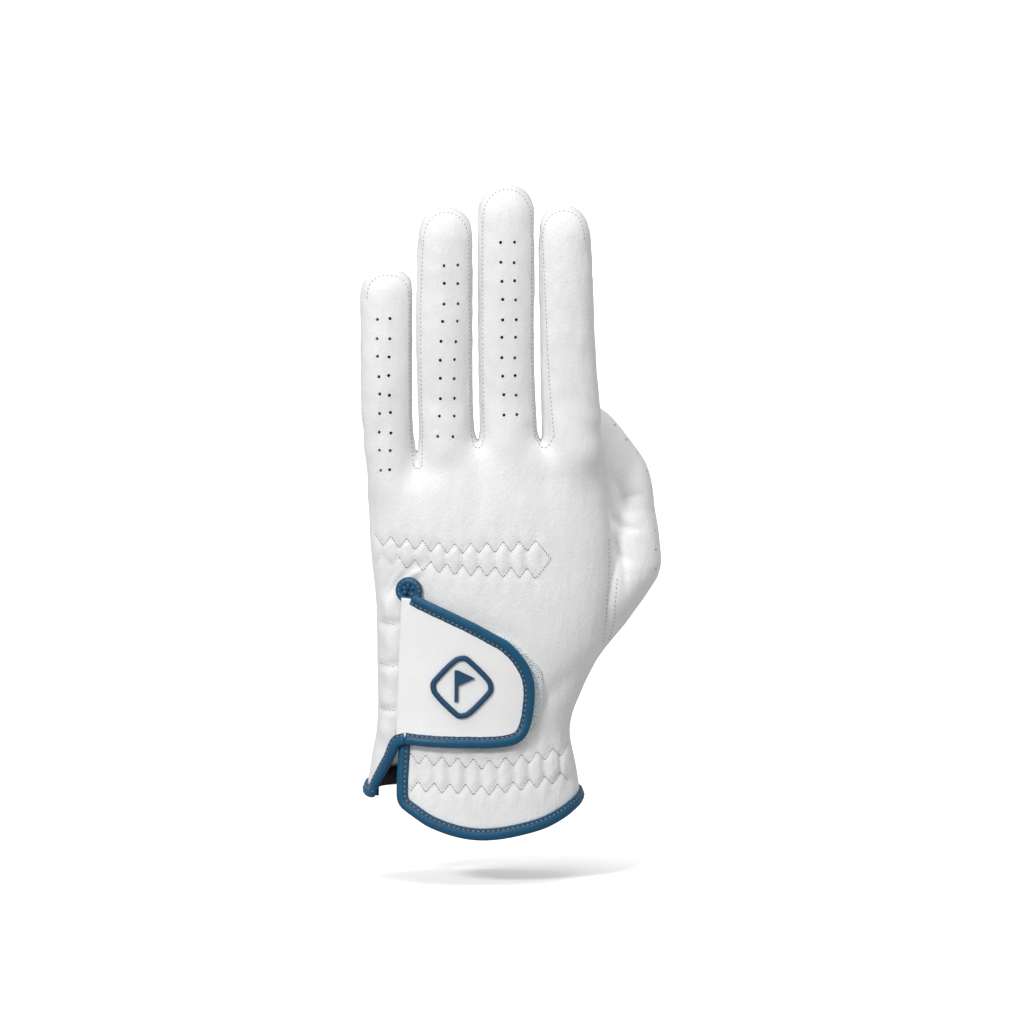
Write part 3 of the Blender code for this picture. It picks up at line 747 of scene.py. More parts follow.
def punch_vents(bm, surface, places):
    """Opens vent holes near their places, not quite in line."""
    verts = list(bm.verts)
    tree = kdtree.KDTree(len(verts))
    for i, vert in enumerate(verts):
        tree.insert(vert.co, i)
    tree.balance()
    for i, (x, z) in enumerate(places):
        centre, normal = surface.seen(x + 0.3 * math.sin(5.1 * i), z + 0.3 * math.sin(3.7 * i))
        punch_hole(bm, tree, verts, centre, Vector(normal))


FINGER_Z = np.linspace(96, 220, 200)
FINGER_SIDES = {name: [read_many(FINGERS[name]["sides"], FINGER_Z, k) for k in (0, 1)] for name in FINGERS}


def finger_side(name, side, z):
    """Where a finger's ulnar side (0) or radial side (1) lies at a height."""
    return np.interp(z, FINGER_Z, FINGER_SIDES[name][side])


def finger_at(x, z):
    """The finger that a place above the webs belongs to."""
    names = list(FINGERS)
    for low_name, high_name in zip(names, names[1:]):
        if x < (finger_side(low_name, 1, z) + finger_side(high_name, 0, z)) / 2:
            return low_name
    return names[-1]


def finger_middle(name, z):
    return (finger_side(name, 0, z) + finger_side(name, 1, z)) / 2


def hand_part(place):
    """The name of the piece that a place on the hand's skin belongs to."""
    x, y, z = place
    if z < 115:
        return "hand"
    name = finger_at(x, z)
    if z < ROOT_RING[name]:
        return "hand"
    facts = FACTS[name]
    level = "lower" if z < MIDDLE_RING[name] else "tip"
    side = 1 if x > finger_middle(name, z) else -1
    off = abs(y - finger_lean(facts, z))
    if side in STRIP_SIDES[name] and z < facts["top"] - 4 and off < strip_reach(facts, side, z):
        return f"{name}_{level}_fourchette_{SIDE_NAMES[side]}"
    return f"{name}_{level}"


def on_back(face):
    return face.normal.y < 0.2 and face.calc_center_median().y < 0


def near_slit(face):
    return on_back(face) and face.calc_center_median().z < SLIT_TOP + 2


def in_slit(face):
    x, _, z = face.calc_center_median()
    return on_back(face) and z < SLIT_TOP and slit_edge(0, z) < x < slit_edge(1, z)


def on_finger(face, name, side=0):
    """Whether a face lies on a finger, and on one side of its middle where a side is given."""
    x, _, z = face.calc_center_median()
    if z <= 112 or finger_at(x, z) != name:
        return False
    return side == 0 or (x - finger_middle(name, z)) * side > 0


def cut_finger(bm, name):
    """The hand's skin cut across a finger's two folds and along the seams of its side strips."""
    facts = FACTS[name]
    for ring in (ROOT_RING[name], MIDDLE_RING[name]):
        cut_along(bm, 2, lambda p: ring, lambda f: on_finger(f, name))
    for side in STRIP_SIDES[name]:
        for sign in (-1, 1):
            cut_along(bm, 1, lambda p: finger_lean(facts, p[2]) + sign * strip_reach(facts, side, p[2]),
                      lambda f: on_finger(f, name, side))


def cut_hand(mesh, surface):
    """The hand's skin opened at the cuff and the slit, and cut at its folds and finger seams."""
    bm = bmesh.new()
    bm.from_mesh(mesh)
    cut_along(bm, 2, cuff_height, clear=True)
    for side in (0, 1):
        cut_along(bm, 0, lambda p: slit_edge(side, p[2]), near_slit)
    cut_along(bm, 2, lambda p: SLIT_TOP, on_back)
    bmesh.ops.delete(bm, geom=[f for f in bm.faces if in_slit(f)], context="FACES")
    for name in FINGERS:
        cut_finger(bm, name)
    punch_vents(bm, surface, vent_places())
    return bm


def seam_normal():
    """The thumb seam's outward direction."""
    normal = unit(np.cross(SEAM_HIGH - SEAM_LOW, SEAM_PALM - SEAM_LOW))
    return normal if normal[0] > 0 else -normal


def thumb_part(place):
    """The name of the piece that a place on the thumb's skin belongs to."""
    ahead = (np.array(place) - THUMB_KNUCKLE) @ unit(THUMB_LIMB)
    return "thumb_tip" if ahead > -MIDDLE_BEND else "thumb_base"


def hidden_in_hand(place):
    """Whether a place lies well inside the hand, where the thumb's skin isn't needed."""
    x, y, z = place
    left, right, back, palm = read_curve(HAND_SECTIONS, z)
    across = abs(x - (left + right) / 2) / ((right - left) / 2 - HIDDEN_MARGIN)
    out = abs(y) / ((palm if y > 0 else -back) - HIDDEN_MARGIN)
    return z < 118 and across**SECTION_POWER + out**SECTION_POWER < 1


def cut_thumb(mesh, surface):
    """The thumb's skin without what the hand hides, and cut at its knuckle."""
    bm = bmesh.new()
    bm.from_mesh(mesh)
    inside = [v for v in bm.verts if hidden_in_hand(v.co)]
    bmesh.ops.delete(bm, geom=inside, context="VERTS")
    limb = unit(THUMB_LIMB)
    ring = THUMB_KNUCKLE - limb * MIDDLE_BEND
    bmesh.ops.bisect_plane(bm, geom=bm.verts[:] + bm.edges[:] + bm.faces[:], dist=1e-4, plane_co=ring,
                           plane_no=limb)
    punch_vents(bm, surface, THUMB_VENTS)
    return bm


def divide(bm, part_of):
    """The skin's faces by the piece they belong to, as points, whole-skin normals and faces."""
    layer = bm.verts.layers.float_vector["skin_normal"]
    groups = {}
    for face in bm.faces:
        groups.setdefault(part_of(face.calc_center_median()), []).append(face)
    parts = {}
    for part, faces in groups.items():
        places = {}
        rows = [tuple(places.setdefault(v, len(places)) for v in face.verts) for face in faces]
        points = np.array([v.co for v in places])
        normals = unit(np.array([v[layer] for v in places]))
        parts[part] = (points, normals, rows)
    bm.free()
    return parts


def shell(points, normals, faces, thickness=SKIN):
    """A closed sheet of even thickness under an outer face, shaded by the given normals."""
    count = len(points)
    edges = {(a, b) for face in faces for a, b in zip(face, face[1:] + face[:1])}
    rim = [(b, a, count + a, count + b) for a, b in edges if (b, a) not in edges]
    inner = [tuple(count + i for i in reversed(face)) for face in faces]
    mesh = mesh_from(np.vstack([points, points - normals * thickness]), faces + inner + rim)
    mesh.shade_smooth()
    both = np.vstack([normals, -normals])
    shading = np.zeros((len(mesh.loops), 3))
    for polygon in mesh.polygons:
        for loop in polygon.loop_indices:
            on_rim = polygon.index >= 2 * len(faces)
            shading[loop] = polygon.normal if on_rim else both[mesh.loops[loop].vertex_index]
    mesh.normals_split_custom_set(shading.tolist())
    return mesh


# The parts that bend across a joint, and how pieces are attached to the glove's bodies


def make_bends():
    """For each part that bends: its two bodies, and where the bend starts and ends."""
    bends = {}
    up = np.array((0, 0, 1.0))
    for name, facts in FACTS.items():
        root = np.array((facts["root"][0], 0, ROOT_RING[name]))
        bends[f"{name}_lower"] = ("hand", f"{name}_lower", root + up * 0.5, root + up * ROOT_BEND)
        middle = facts["middle"]
        bends[f"{name}_tip"] = (f"{name}_lower", f"{name}_tip", middle - up * MIDDLE_BEND,
                                middle + up * MIDDLE_BEND)
    out, limb = seam_normal(), unit(THUMB_LIMB)
    bends["thumb_base"] = ("hand", "thumb_base", SEAM_LOW + out * 0.5, SEAM_LOW + out * 7)
    bends["thumb_tip"] = ("thumb_base", "thumb_tip", THUMB_KNUCKLE - limb * MIDDLE_BEND,
                          THUMB_KNUCKLE + limb * MIDDLE_BEND)
    return bends


BENDS = make_bends()


def attach(obj, part, *nodes):
    """Parents a rigid piece to its part's body; a piece of a part that bends across a joint gets its
    placement baked into its mesh and no parent. Hides the CAD nodes it stands for.
    """
    bend = BENDS.get(part.split("_fourchette")[0])
    if bend:
        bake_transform(obj)
    else:
        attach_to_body(obj, part)
    if nodes:
        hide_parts(*nodes)
    return obj


# Threads, bindings and flat pads


def tube_rings(line, outs, profile):
    """Rings of a profile of (side, out) places carried along a line, with the profile's out way given."""
    along = unit(np.gradient(line, axis=0))
    side = unit(np.cross(along, outs))
    out = np.cross(side, along)
    return line[:, None] + side[:, None] * profile[None, :, :1] + out[:, None] * profile[None, :, 1:]


def ring_faces(rings, around, closed=False):
    """The faces of a tube of rings, capped where it isn't closed on itself."""
    faces = []
    for i in range(rings if closed else rings - 1):
        for j in range(around):
            a, b = i * around + j, i * around + (j + 1) % around
            c = ((i + 1) % rings) * around + (j + 1) % around
            d = ((i + 1) % rings) * around + j
            faces.append((a, b, c, d))
    if not closed:
        faces.append(tuple(reversed(range(around))))
        faces.append(tuple(range((rings - 1) * around, rings * around)))
    return faces


def outward(mesh):
    """The mesh with its faces turned outward and smooth."""
    bm = bmesh.new()
    bm.from_mesh(mesh)
    bmesh.ops.recalc_face_normals(bm, faces=bm.faces)
    bm.to_mesh(mesh)
    bm.free()
    mesh.shade_smooth()
    return mesh


def swept(line, outs, profile, closed=False):
    """A closed mesh of a profile carried along a line."""
    rings = tube_rings(np.asarray(line, float), np.asarray(outs, float), np.array(profile, float))
    return outward(mesh_from(rings.reshape(-1, 3), ring_faces(len(rings), rings.shape[1], closed)))


def stitch_shape(length, radius):
    """One stitch as rings of (along, side, out) places: a short thread whose ends dip into the leather."""
    rows = []
    for turn in np.linspace(-1, 1, 5):
        thick = radius * math.sqrt(max(0.0, 1 - abs(turn) ** 3)) + 0.02
        for k in range(6):
            angle = math.tau * k / 6
            out = thick * math.sin(angle) - 0.35 * radius * turn**2
            rows.append((turn * length / 2, thick * math.cos(angle), out))
    return np.array(rows)


def stitches(rows, length, pitch, radius):
    """One mesh of separate stitches along rows of (line, normals)."""
    shape = stitch_shape(length, radius)
    faces, points = [], []
    base = ring_faces(5, 6)
    for line, outs in rows:
        both = even_line(np.hstack([line, outs]), pitch)
        middles = (both[1:, :3] + both[:-1, :3]) / 2
        out = unit(both[1:, 3:] + both[:-1, 3:])
        along = unit(both[1:, :3] - both[:-1, :3])
        side = unit(np.cross(along, out))
        out = np.cross(side, along)
        for i in range(len(middles)):
            start = len(points) * len(shape)
            points.append(middles[i] + shape[:, :1] * along[i] + shape[:, 1:2] * side[i]
                          + shape[:, 2:] * out[i])
            faces += [tuple(start + k for k in face) for face in base]
    return outward(mesh_from(np.vstack(points), faces))


def flat_pad(outline, lay, thickness, rings=14, round_edge=0.4, rough=0.0):
    """A closed pad over an outline in front view. lay(x, z) gives its underside's place and normal."""
    middle = outline.mean(axis=0)
    shares = 1 - np.linspace(0, 1, rings) ** 1.4
    shares = shares[shares > 0.02]
    flat = np.array([middle + (outline - middle) * s for s in shares])
    count = len(outline)
    laid = [lay(x, z) for x, z in flat.reshape(-1, 2)]
    places = np.array([p for p, _ in laid])
    outs = np.array([n for _, n in laid])
    inset = np.repeat(1 - shares, count) * np.linalg.norm(outline - middle, axis=1).mean()
    rise = thickness - round_edge * np.exp(-inset / max(round_edge, 0.01) * 1.5)
    if rough:
        rise = rise + rough * np.array([noise.noise(Vector(p) * 1.4) for p in places])
    top = places + outs * rise[:, None]
    points = np.vstack([top, places])
    layers = len(shares)
    faces = []
    for i in range(layers - 1):
        for j in range(count):
            k = (j + 1) % count
            quad = (i * count + j, i * count + k, (i + 1) * count + k, (i + 1) * count + j)
            faces += [quad, tuple(len(top) + q for q in reversed(quad))]
    faces += [(j, (j + 1) % count, len(top) + (j + 1) % count, len(top) + j) for j in range(count)]
    last = (layers - 1) * count
    faces.append(tuple(range(last, last + count)))
    faces.append(tuple(reversed(range(len(top) + last, len(top) + last + count))))
    return outward(mesh_from(points, faces))


# Finishes


def srgb(*values):
    """A colour of 8-bit display values as a linear colour."""
    linear = [((v / 255 + 0.055) / 1.055) ** 2.4 if v > 10 else v / 255 / 12.92 for v in values]
    return (*linear, 1.0)


def finish(name, colour, roughness, grains, uneven=0.04, sheen=0.0, coat=0.0, specular=0.5):
    """A procedural finish. Each grain is a texture's kind, its size and its height in mm, and its stretch."""
    material = bpy.data.materials.new(name)
    material.use_nodes = True
    nodes, links = material.node_tree.nodes, material.node_tree.links
    shader = nodes["Principled BSDF"]
    shader.inputs["Sheen Weight"].default_value = sheen
    shader.inputs["Coat Weight"].default_value = coat
    shader.inputs["Specular IOR Level"].default_value = specular
    place = nodes.new("ShaderNodeTexCoord")

    def texture(kind, size, stretch=(1, 1, 1)):
        mapping = nodes.new("ShaderNodeMapping")
        mapping.inputs["Scale"].default_value = [s / (size * MM) for s in stretch]
        links.new(place.outputs["Object"], mapping.inputs["Vector"])
        made = nodes.new(kind)
        made.inputs["Scale"].default_value = 1.0
        links.new(mapping.outputs["Vector"], made.inputs["Vector"])
        return made.outputs["Distance" if kind == "ShaderNodeTexVoronoi" else "Fac"]

    patches = texture("ShaderNodeTexNoise", 9)
    mix = nodes.new("ShaderNodeMix")
    mix.data_type = "RGBA"
    mix.inputs["A"].default_value = [c * (1 - uneven) for c in colour[:3]] + [1]
    mix.inputs["B"].default_value = [min(1, c * (1 + uneven)) for c in colour[:3]] + [1]
    links.new(patches, mix.inputs["Factor"])
    links.new(mix.outputs["Result"], shader.inputs["Base Color"])
    gloss = nodes.new("ShaderNodeMapRange")
    gloss.inputs["To Min"].default_value = roughness - 0.05
    gloss.inputs["To Max"].default_value = roughness + 0.05
    links.new(patches, gloss.inputs["Value"])
    links.new(gloss.outputs["Result"], shader.inputs["Roughness"])
    under = None
    for kind, size, height, stretch in grains:
        relief = nodes.new("ShaderNodeBump")
        relief.inputs["Strength"].default_value = 1.0
        relief.inputs["Distance"].default_value = height * MM
        links.new(texture(kind, size, stretch), relief.inputs["Height"])
        if under:
            links.new(under, relief.inputs["Normal"])
        under = relief.outputs["Normal"]
    links.new(under, shader.inputs["Normal"])
    return material


NOISE, CELLS = "ShaderNodeTexNoise", "ShaderNodeTexVoronoi"
EVEN = (1, 1, 1)
LEATHER = finish("white_leather", srgb(231, 231, 231), 0.5,
                 ((CELLS, 0.5, 0.07, EVEN), (NOISE, 1.1, 0.10, EVEN), (NOISE, 3.2, 0.30, (1, 1, 0.4))))
TAB_LEATHER = finish("tab_leather", srgb(236, 236, 236), 0.5,
                     ((CELLS, 0.4, 0.06, EVEN), (NOISE, 1.0, 0.06, EVEN)))
BLUE = finish("blue_binding", srgb(8, 78, 112), 0.45,
              ((CELLS, 0.35, 0.03, EVEN), (NOISE, 1.6, 0.08, EVEN)), 0.08, specular=0.35)
RUBBER = finish("blue_rubber", srgb(4, 62, 98), 0.55, ((NOISE, 0.3, 0.01, EVEN),), 0.03)
GREY_THREAD = finish("grey_thread", srgb(164, 163, 162), 0.8, ((NOISE, 0.15, 0.02, EVEN),), 0.1)
TAUPE_THREAD = finish("taupe_thread", srgb(128, 116, 112), 0.7, ((NOISE, 0.15, 0.02, EVEN),), 0.25)
LOOPS = finish("loop_pile", srgb(218, 227, 229), 0.9,
               ((CELLS, 0.8, 0.5, EVEN), (NOISE, 0.5, 0.3, EVEN)), 0.12, sheen=0.3)
HOOKS = finish("hook_strip", srgb(214, 220, 222), 0.6, ((CELLS, 0.6, 0.4, EVEN),), 0.08)
ELASTIC = finish("woven_elastic", srgb(206, 206, 204), 0.85, ((NOISE, 0.7, 0.2, (1, 1, 0.2)),), 0.08)
# Black painted shade: the strips in the bindings' stitch grooves and the tape inside the cuff are black to
# stand in for the shade there.
SHADE_BLACK = finish("black_tape", srgb(16, 16, 18), 0.75, ((NOISE, 0.6, 0.15, (1, 1, 0.3)),), 0.2)


# The skins


hand_blank, thumb_blank = make_hand_blank(), make_thumb_blank()
hand_mesh, thumb_mesh = make_skin(hand_blank, hand_relief), make_skin(thumb_blank, thumb_relief)
hand_surface, thumb_surface = Surface(hand_mesh), Surface(thumb_mesh)
SKIN_NODES = {"hand": ("trank_back", "trank_palm")}
parts = divide(cut_hand(hand_mesh, hand_surface), hand_part)
parts.update(divide(cut_thumb(thumb_mesh, thumb_surface), thumb_part))
for part, (points, normals, faces) in parts.items():
    leather = add_piece(f"leather_{part}", shell(points, normals, faces), LEATHER)
    attach(leather, part, *SKIN_NODES.get(part, (part,)))


# Seams' stitches


def finger_seam_line(facts):
    """A finger's seam in front view: over the tip, and down each side that has a strip."""
    straight = facts["top"] - facts["tip_length"]
    power, rise = facts["tip_power"], facts["tip_length"] - 1.3
    levels = np.arange(ROOT_RING[facts["name"]], straight, 2.0)
    lines = {-1: [], 1: []}
    for side, line in lines.items():
        for z in levels:
            inset = seam_inset(facts, side, z) + 0.4
            line.append((finger_side(facts["name"], int(side > 0), z) - side * inset, z))
    left = finger_side(facts["name"], 0, straight) + seam_inset(facts, -1, straight) + 0.4
    right = finger_side(facts["name"], 1, straight) - seam_inset(facts, 1, straight) - 0.4
    centre, wide = (left + right) / 2, (right - left) / 2
    dome = []
    for turn in np.radians(np.linspace(180, 0, 25)):
        across, up = superellipse(turn, power)
        dome.append((centre + wide * across, straight + rise * max(up, 0)))
    sides = STRIP_SIDES[facts["name"]]
    return (lines[-1] if -1 in sides else []) + dome + (lines[1][::-1] if 1 in sides else [])


def runs(line, level_of):
    """The line's unbroken runs of places of one level, by level."""
    found = {}
    last = None
    for place in line:
        level = level_of(place)
        if level != last:
            found.setdefault(level, []).append([])
        found[level][-1].append(place)
        last = level
    return found


def sew_fingers():
    """The stitches of each finger's seams, on its back and its palm."""
    for name, facts in FACTS.items():
        line = even_line(finger_seam_line(facts), 0.75)
        by_level = runs(line, lambda p: "lower" if p[1] < MIDDLE_RING[name] else "tip")
        for level, pieces in by_level.items():
            rows = [hand_surface.draped(piece, STITCH_LIFT, side)
                    for piece in pieces for side in (-1, 1) if len(piece) > 3]
            threads = add_piece(f"stitches_{name}_{level}", stitches(rows, **STITCH), GREY_THREAD)
            attach(threads, f"{name}_{level}")


def sew_hand():
    """The stitches round each web, of the gathered strip, and the twin rows beside the thumb."""
    rows = []
    names = list(FINGERS)
    for low_name, high_name in zip(names, names[1:]):
        bottom = WEB_STITCH[low_name]
        left_top, right_top = ROOT_RING[low_name] + 0.5, ROOT_RING[high_name] + 0.5
        left = finger_side(low_name, 1, left_top) - seam_inset(FACTS[low_name], 1, left_top) - 0.4
        right = finger_side(high_name, 0, right_top) + seam_inset(FACTS[high_name], -1, right_top) + 0.4
        middle = (left + right) / 2
        corners = ((left, left_top), (middle - 1.3, bottom + 0.5), (middle, bottom),
                   (middle + 1.3, bottom + 0.5), (right, right_top))
        rows.append(hand_surface.draped(even_line(corners, 0.5), STITCH_LIFT))
    for level in GATHER_LEVELS:
        gather = [(-37.6, level + 0.4), (-32.0, level - 0.4)]
        rows.append(hand_surface.draped(even_line(gather, 0.7), STITCH_LIFT))
    twin = smooth_line(((42.6, 92), (42.6, 82), (41.7, 66), (40.4, 55)))
    rows.append(hand_surface.draped(even_line(twin, 0.7), STITCH_LIFT))
    attach(add_piece("stitches_hand", stitches(rows, **STITCH), GREY_THREAD), "hand")
    outer = smooth_line(((45.6, 78), (44.8, 69), (44.2, 61), (42.6, 55.5)))
    rows = [thumb_surface.draped(even_line(outer, 0.7), STITCH_LIFT)]
    attach(add_piece("stitches_thumb", stitches(rows, **STITCH), GREY_THREAD), "thumb_base")


def sew_elastics():
    """The zigzag threads that hold the two elastics of the back."""
    knuckle_lower = [c for c in zigzag(KNUCKLE_ZONE, "lower") if c[0] > LOWER_ROW_START]
    lines = {
        "knuckle_zigzag_upper": zigzag(KNUCKLE_ZONE, "upper") + [ARROW_TIP],
        "knuckle_zigzag_lower": knuckle_lower + [ARROW_TIP],
        "cuff_zigzag_upper": zigzag(CUFF_ZONE, "upper"),
        "cuff_zigzag_lower": zigzag(CUFF_ZONE, "lower"),
    }
    for node, corners in lines.items():
        row = hand_surface.draped(even_line(corners, 0.4), 0.05)
        mesh = stitches([row], length=0.75, pitch=1.05, radius=0.17)
        attach(add_piece(f"thread_{node}", mesh, GREY_THREAD), "hand", node)


sew_fingers()
sew_hand()
sew_elastics()


# The closure


def back_depth(x, z):
    """The depth of the hand's plain back at a place in front view."""
    left, right, back, _ = read_curve(HAND_SECTIONS, z)
    across = min(abs(x - (left + right) / 2) / ((right - left) / 2), 0.99)
    return back * (1 - across**SECTION_POWER) ** (1 / SECTION_POWER)


def back_lay(x, z, lift):
    """A place over the hand's plain back as seen from the front, and the direction away from the hand."""
    across = back_depth(x + 0.5, z) - back_depth(x - 0.5, z)
    up = back_depth(x, z + 0.5) - back_depth(x, z - 0.5)
    away = np.array((across, -1.0, up))
    return np.array((x, back_depth(x, z) - lift * min(np.linalg.norm(away), 1.3), z)), unit(away)


def laid_line(line, lift):
    """A line in front view laid over the hand's plain back, with the directions away from the hand."""
    laid = [back_lay(x, z, lift) for x, z in line]
    return np.array([p for p, _ in laid]), np.array([n for _, n in laid])


def corner_line(corners, step=1.0, closed=False):
    """A smooth line through corners, open or closed, at even steps."""
    return even_line(smooth_line(corners, 300, closed), step)


def binding(name, line, outs, part, nodes, mirrored=False):
    """A folded leather binding along a line, with a row of stitches in its groove over a black strip of
    painted shade.
    """
    profile = np.array(BINDING_PROFILE)
    lip = LIP
    if mirrored:
        profile, lip = (profile * (-1, 1))[::-1], -LIP
    pucker = 1 + 0.03 * np.sin(np.arange(len(line)) * 1.9) + 0.02 * np.sin(np.arange(len(line)) * 0.7)
    strip = swept(line + outs * (pucker[:, None] - 1), outs, profile)
    attach(add_piece(name, strip, BLUE), part, *nodes)
    along = unit(np.gradient(line, axis=0))
    side = unit(np.cross(along, outs))
    row = (line + side * lip + outs * 0.80, outs)
    # The black strip in the groove under the stitches is painted shade between the stitches.
    groove = swept(line + side * lip + outs * 0.62, outs, [(0.3, 0), (0, 0.24), (-0.3, 0), (0, -0.3)])
    attach(add_piece(f"{name}_groove", groove, SHADE_BLACK), part)
    threads = stitches([row], length=1.35, pitch=1.75, radius=0.27)
    attach(add_piece(f"{name}_stitches", threads, TAUPE_THREAD), part)


def make_tab():
    """The closure tab with its hooks, the loop pad under it, and the binding of its free edge."""
    hinge_side = even_line([TAB_EDGE[-1], (-30.2, 48), TAB_EDGE[0]], 0.9)[1:-1]
    edge = np.vstack([corner_line(TAB_EDGE, 0.9), hinge_side])
    tab = flat_pad(edge, lambda x, z: back_lay(x, z, TAB_UNDER), TAB_THICK, 26, 0.2)
    attach(add_piece("tab_leather", tab, TAB_LEATHER), "closure_tab", "tab_outer")
    hooks = flat_pad(corner_line(HOOK_EDGE, 1.0, True), lambda x, z: back_lay(x, z, 1.05), 0.6)
    attach(add_piece("tab_hooks", hooks, HOOKS), "closure_tab", "tab_hook_strip")
    loop_edge = corner_line(LOOP_EDGE, 0.6, True)
    loops = flat_pad(loop_edge, lambda x, z: back_lay(x, z, -0.1), 1.0, 30, 0.35, 0.12)
    attach(add_piece("loop_pad", loops, LOOPS), "hand", "loop_patch")
    line, outs = laid_line(corner_line(TAB_EDGE[1:-1], 0.8), TAB_UNDER + TAB_THICK / 2)
    binding("tab_edge_binding", line, outs, "closure_tab", ("tab_binding",))


def make_badge():
    """A moulded rubber badge: a diamond frame round a plain flag on its pole."""
    top = TAB_UNDER + TAB_THICK
    corners = [BADGE_CENTRE + BADGE_SIZE * np.array(c) for c in ((0, -1), (1, 0), (0, 1), (-1, 0))]
    rounded = []
    for before, corner, after in zip(corners[-1:] + corners[:-1], corners, corners[1:] + corners[:1]):
        back, ahead = before - corner, after - corner
        rounded += [corner + 0.2 * back, corner + 0.09 * back + 0.09 * ahead * 0.4, corner + 0.2 * ahead]
    line, outs = laid_line(even_line(smooth_line(rounded, 240, True), 0.6), top + 0.3)
    bar = np.array([(-0.95, -0.6), (-0.95, 0.35), (-0.75, 0.55), (0.75, 0.55), (0.95, 0.35), (0.95, -0.6)])
    frame_piece = swept(line, outs, bar, closed=True)
    attach(add_piece("badge_frame", frame_piece, RUBBER), "closure_tab", "tab_badge")
    flag_edge = [BADGE_CENTRE + corner for corner in FLAG]
    flag = even_line(flag_edge + flag_edge[:1], 0.5)[:-1]
    flag_piece = flat_outline("badge_flag", flag, top - 0.1, 0.85)
    attach(flag_piece, "closure_tab", "tab_badge_pennant")


def flat_outline(name, outline, lift, thickness):
    """A raised flat shape of any outline in front view."""
    bm = bmesh.new()
    face = bm.faces.new([bm.verts.new((x, 0, z)) for x, z in outline])
    made = bmesh.ops.extrude_face_region(bm, geom=[face])
    raised = {v for v in made["geom"] if isinstance(v, bmesh.types.BMVert)}
    for vert in bm.verts:
        place, _ = back_lay(vert.co.x, vert.co.z, lift + (thickness if vert in raised else 0))
        vert.co = place
    bmesh.ops.triangulate(bm, faces=[f for f in bm.faces if len(f.verts) > 4])
    bmesh.ops.recalc_face_normals(bm, faces=bm.faces)
    mesh = bpy.data.meshes.new(name)
    bm.to_mesh(mesh)
    bm.free()
    return add_piece(name, mesh, RUBBER)


def section_place(turn, z):
    """A place on the hand's plain outside at an angle round it, and the direction away from the hand."""
    left, right, back, palm = read_curve(HAND_SECTIONS, z)
    across, out = superellipse(turn)
    wide = (right - left) / 2
    deep = palm if out > 0 else -back
    away = np.array((math.copysign(abs(across) ** (SECTION_POWER - 1), across) / wide,
                     math.copysign(abs(out) ** (SECTION_POWER - 1), out) / deep, 0))
    return np.array(((left + right) / 2 + wide * across, deep * out, z)), unit(away)


def cuff_binding_line(rise=1.9):
    """From the slit's radial edge down, round the cuff by way of the palm, and up the slit's ulnar edge."""
    spots = [back_lay(slit_edge(1, z) + 0.4, z, 0) for z in np.arange(21, 0.5, -1.0)]
    for turn in np.arange(4.30, 9.86, 0.03):
        z = 0.0
        for _ in range(4):
            place, away = section_place(turn, z)
            z = cuff_height(place) + rise
        spots.append((place, away))
    for z in np.arange(4.5, 20.5, 1.0):
        spots.append(back_lay(slit_edge(0, z), z, 2.2 * smoothstep(12, 20, z)))
    spots += [back_lay(x, z, 2.4) for x, z in ((-32.2, 21.6), (-30.8, 22.8), (-28.4, 23.2))]
    both = even_line(np.array([np.hstack([p, n]) for p, n in spots]), 0.9)
    for _ in range(6):
        both[1:-1] = (both[:-2] + 2 * both[1:-1] + both[2:]) / 4
    return both[:, :3], unit(both[:, 3:])


def make_bindings():
    """The cuff's binding and the one up the slit's ulnar edge, which share one line."""
    line, outs = cuff_binding_line()
    up_slit = next(i for i in range(len(line) - 1, 0, -1) if line[i, 2] < 4.6)
    binding("cuff_edge_binding", line[: up_slit + 1], outs[: up_slit + 1], "hand", ("cuff_binding",),
            mirrored=True)
    binding("slit_edge_binding", line[up_slit:], outs[up_slit:], "hand", ("slit_binding",), mirrored=True)
    make_knot()


def circle(radius, degrees):
    return np.array([(radius * math.cos(t), radius * math.sin(t)) for t in np.radians(degrees)])


def make_knot():
    """The gathered end of the binding at the slit's top: a ring round a few tight pleats."""
    line, outs = laid_line(KNOT + circle(KNOT_RADIUS, np.arange(0, 360, 9)), 1.0)
    ring = swept(line, outs, circle(1.5, np.arange(0, 360, 30)), closed=True)
    attach(add_piece("knot_ring", ring, BLUE), "hand", "gathered_loop")
    ways = circle(1, (35, 95, 150, 205))
    pleats = [laid_line([KNOT + way * 0.3, KNOT + way * 3.0], 1.8) for way in ways]
    attach(add_piece("knot_pleats", stitches(pleats, length=3.2, pitch=2.7, radius=1.0), BLUE), "hand")
    row = laid_line(KNOT + circle(KNOT_RADIUS + 0.5, np.arange(-40, 240, 6)), 2.3)
    threads = stitches([row], length=1.2, pitch=1.7, radius=0.24)
    attach(add_piece("knot_stitches", threads, TAUPE_THREAD), "hand")


def make_inner_tape():
    """The tape inside the palm's cuff, seen through the slit, painted black for the shade inside the glove.
    """
    spots = []
    for turn in np.arange(0.15, 3.55, 0.05):
        z = 6.0
        for _ in range(3):
            place, away = section_place(turn, z)
            z = cuff_height(place) + 3.6
        spots.append(np.hstack([place - away * 2.3, away]))
    both = even_line(np.array(spots), 1.2)
    band = swept(both[:, :3], unit(both[:, 3:]), [(-3.2, -0.35), (3.2, -0.35), (3.2, 0.35), (-3.2, 0.35)])
    # Its black is painted shade for the dark inside of the cuff.
    attach(add_piece("inner_tape", band, SHADE_BLACK), "hand", "inner_cuff_tape")


make_tab()
make_badge()
make_bindings()
make_inner_tape()
for node in ("knuckle_elastic", "cuff_elastic", "wrist_elastic"):
    frame["nodes"][node].data.materials.clear()
    frame["nodes"][node].data.materials.append(ELASTIC)


# The stage


def camera_only(nodes, links, seen, unseen, kind):
    """A value that camera rays read as one number and all other light as another."""
    path = nodes.new("ShaderNodeLightPath")
    mix = nodes.new("ShaderNodeMapRange")
    mix.inputs["To Min"].default_value = unseen
    mix.inputs["To Max"].default_value = seen
    links.new(path.outputs["Is Camera Ray"], mix.inputs["Value"])
    links.new(mix.outputs["Result"], kind)


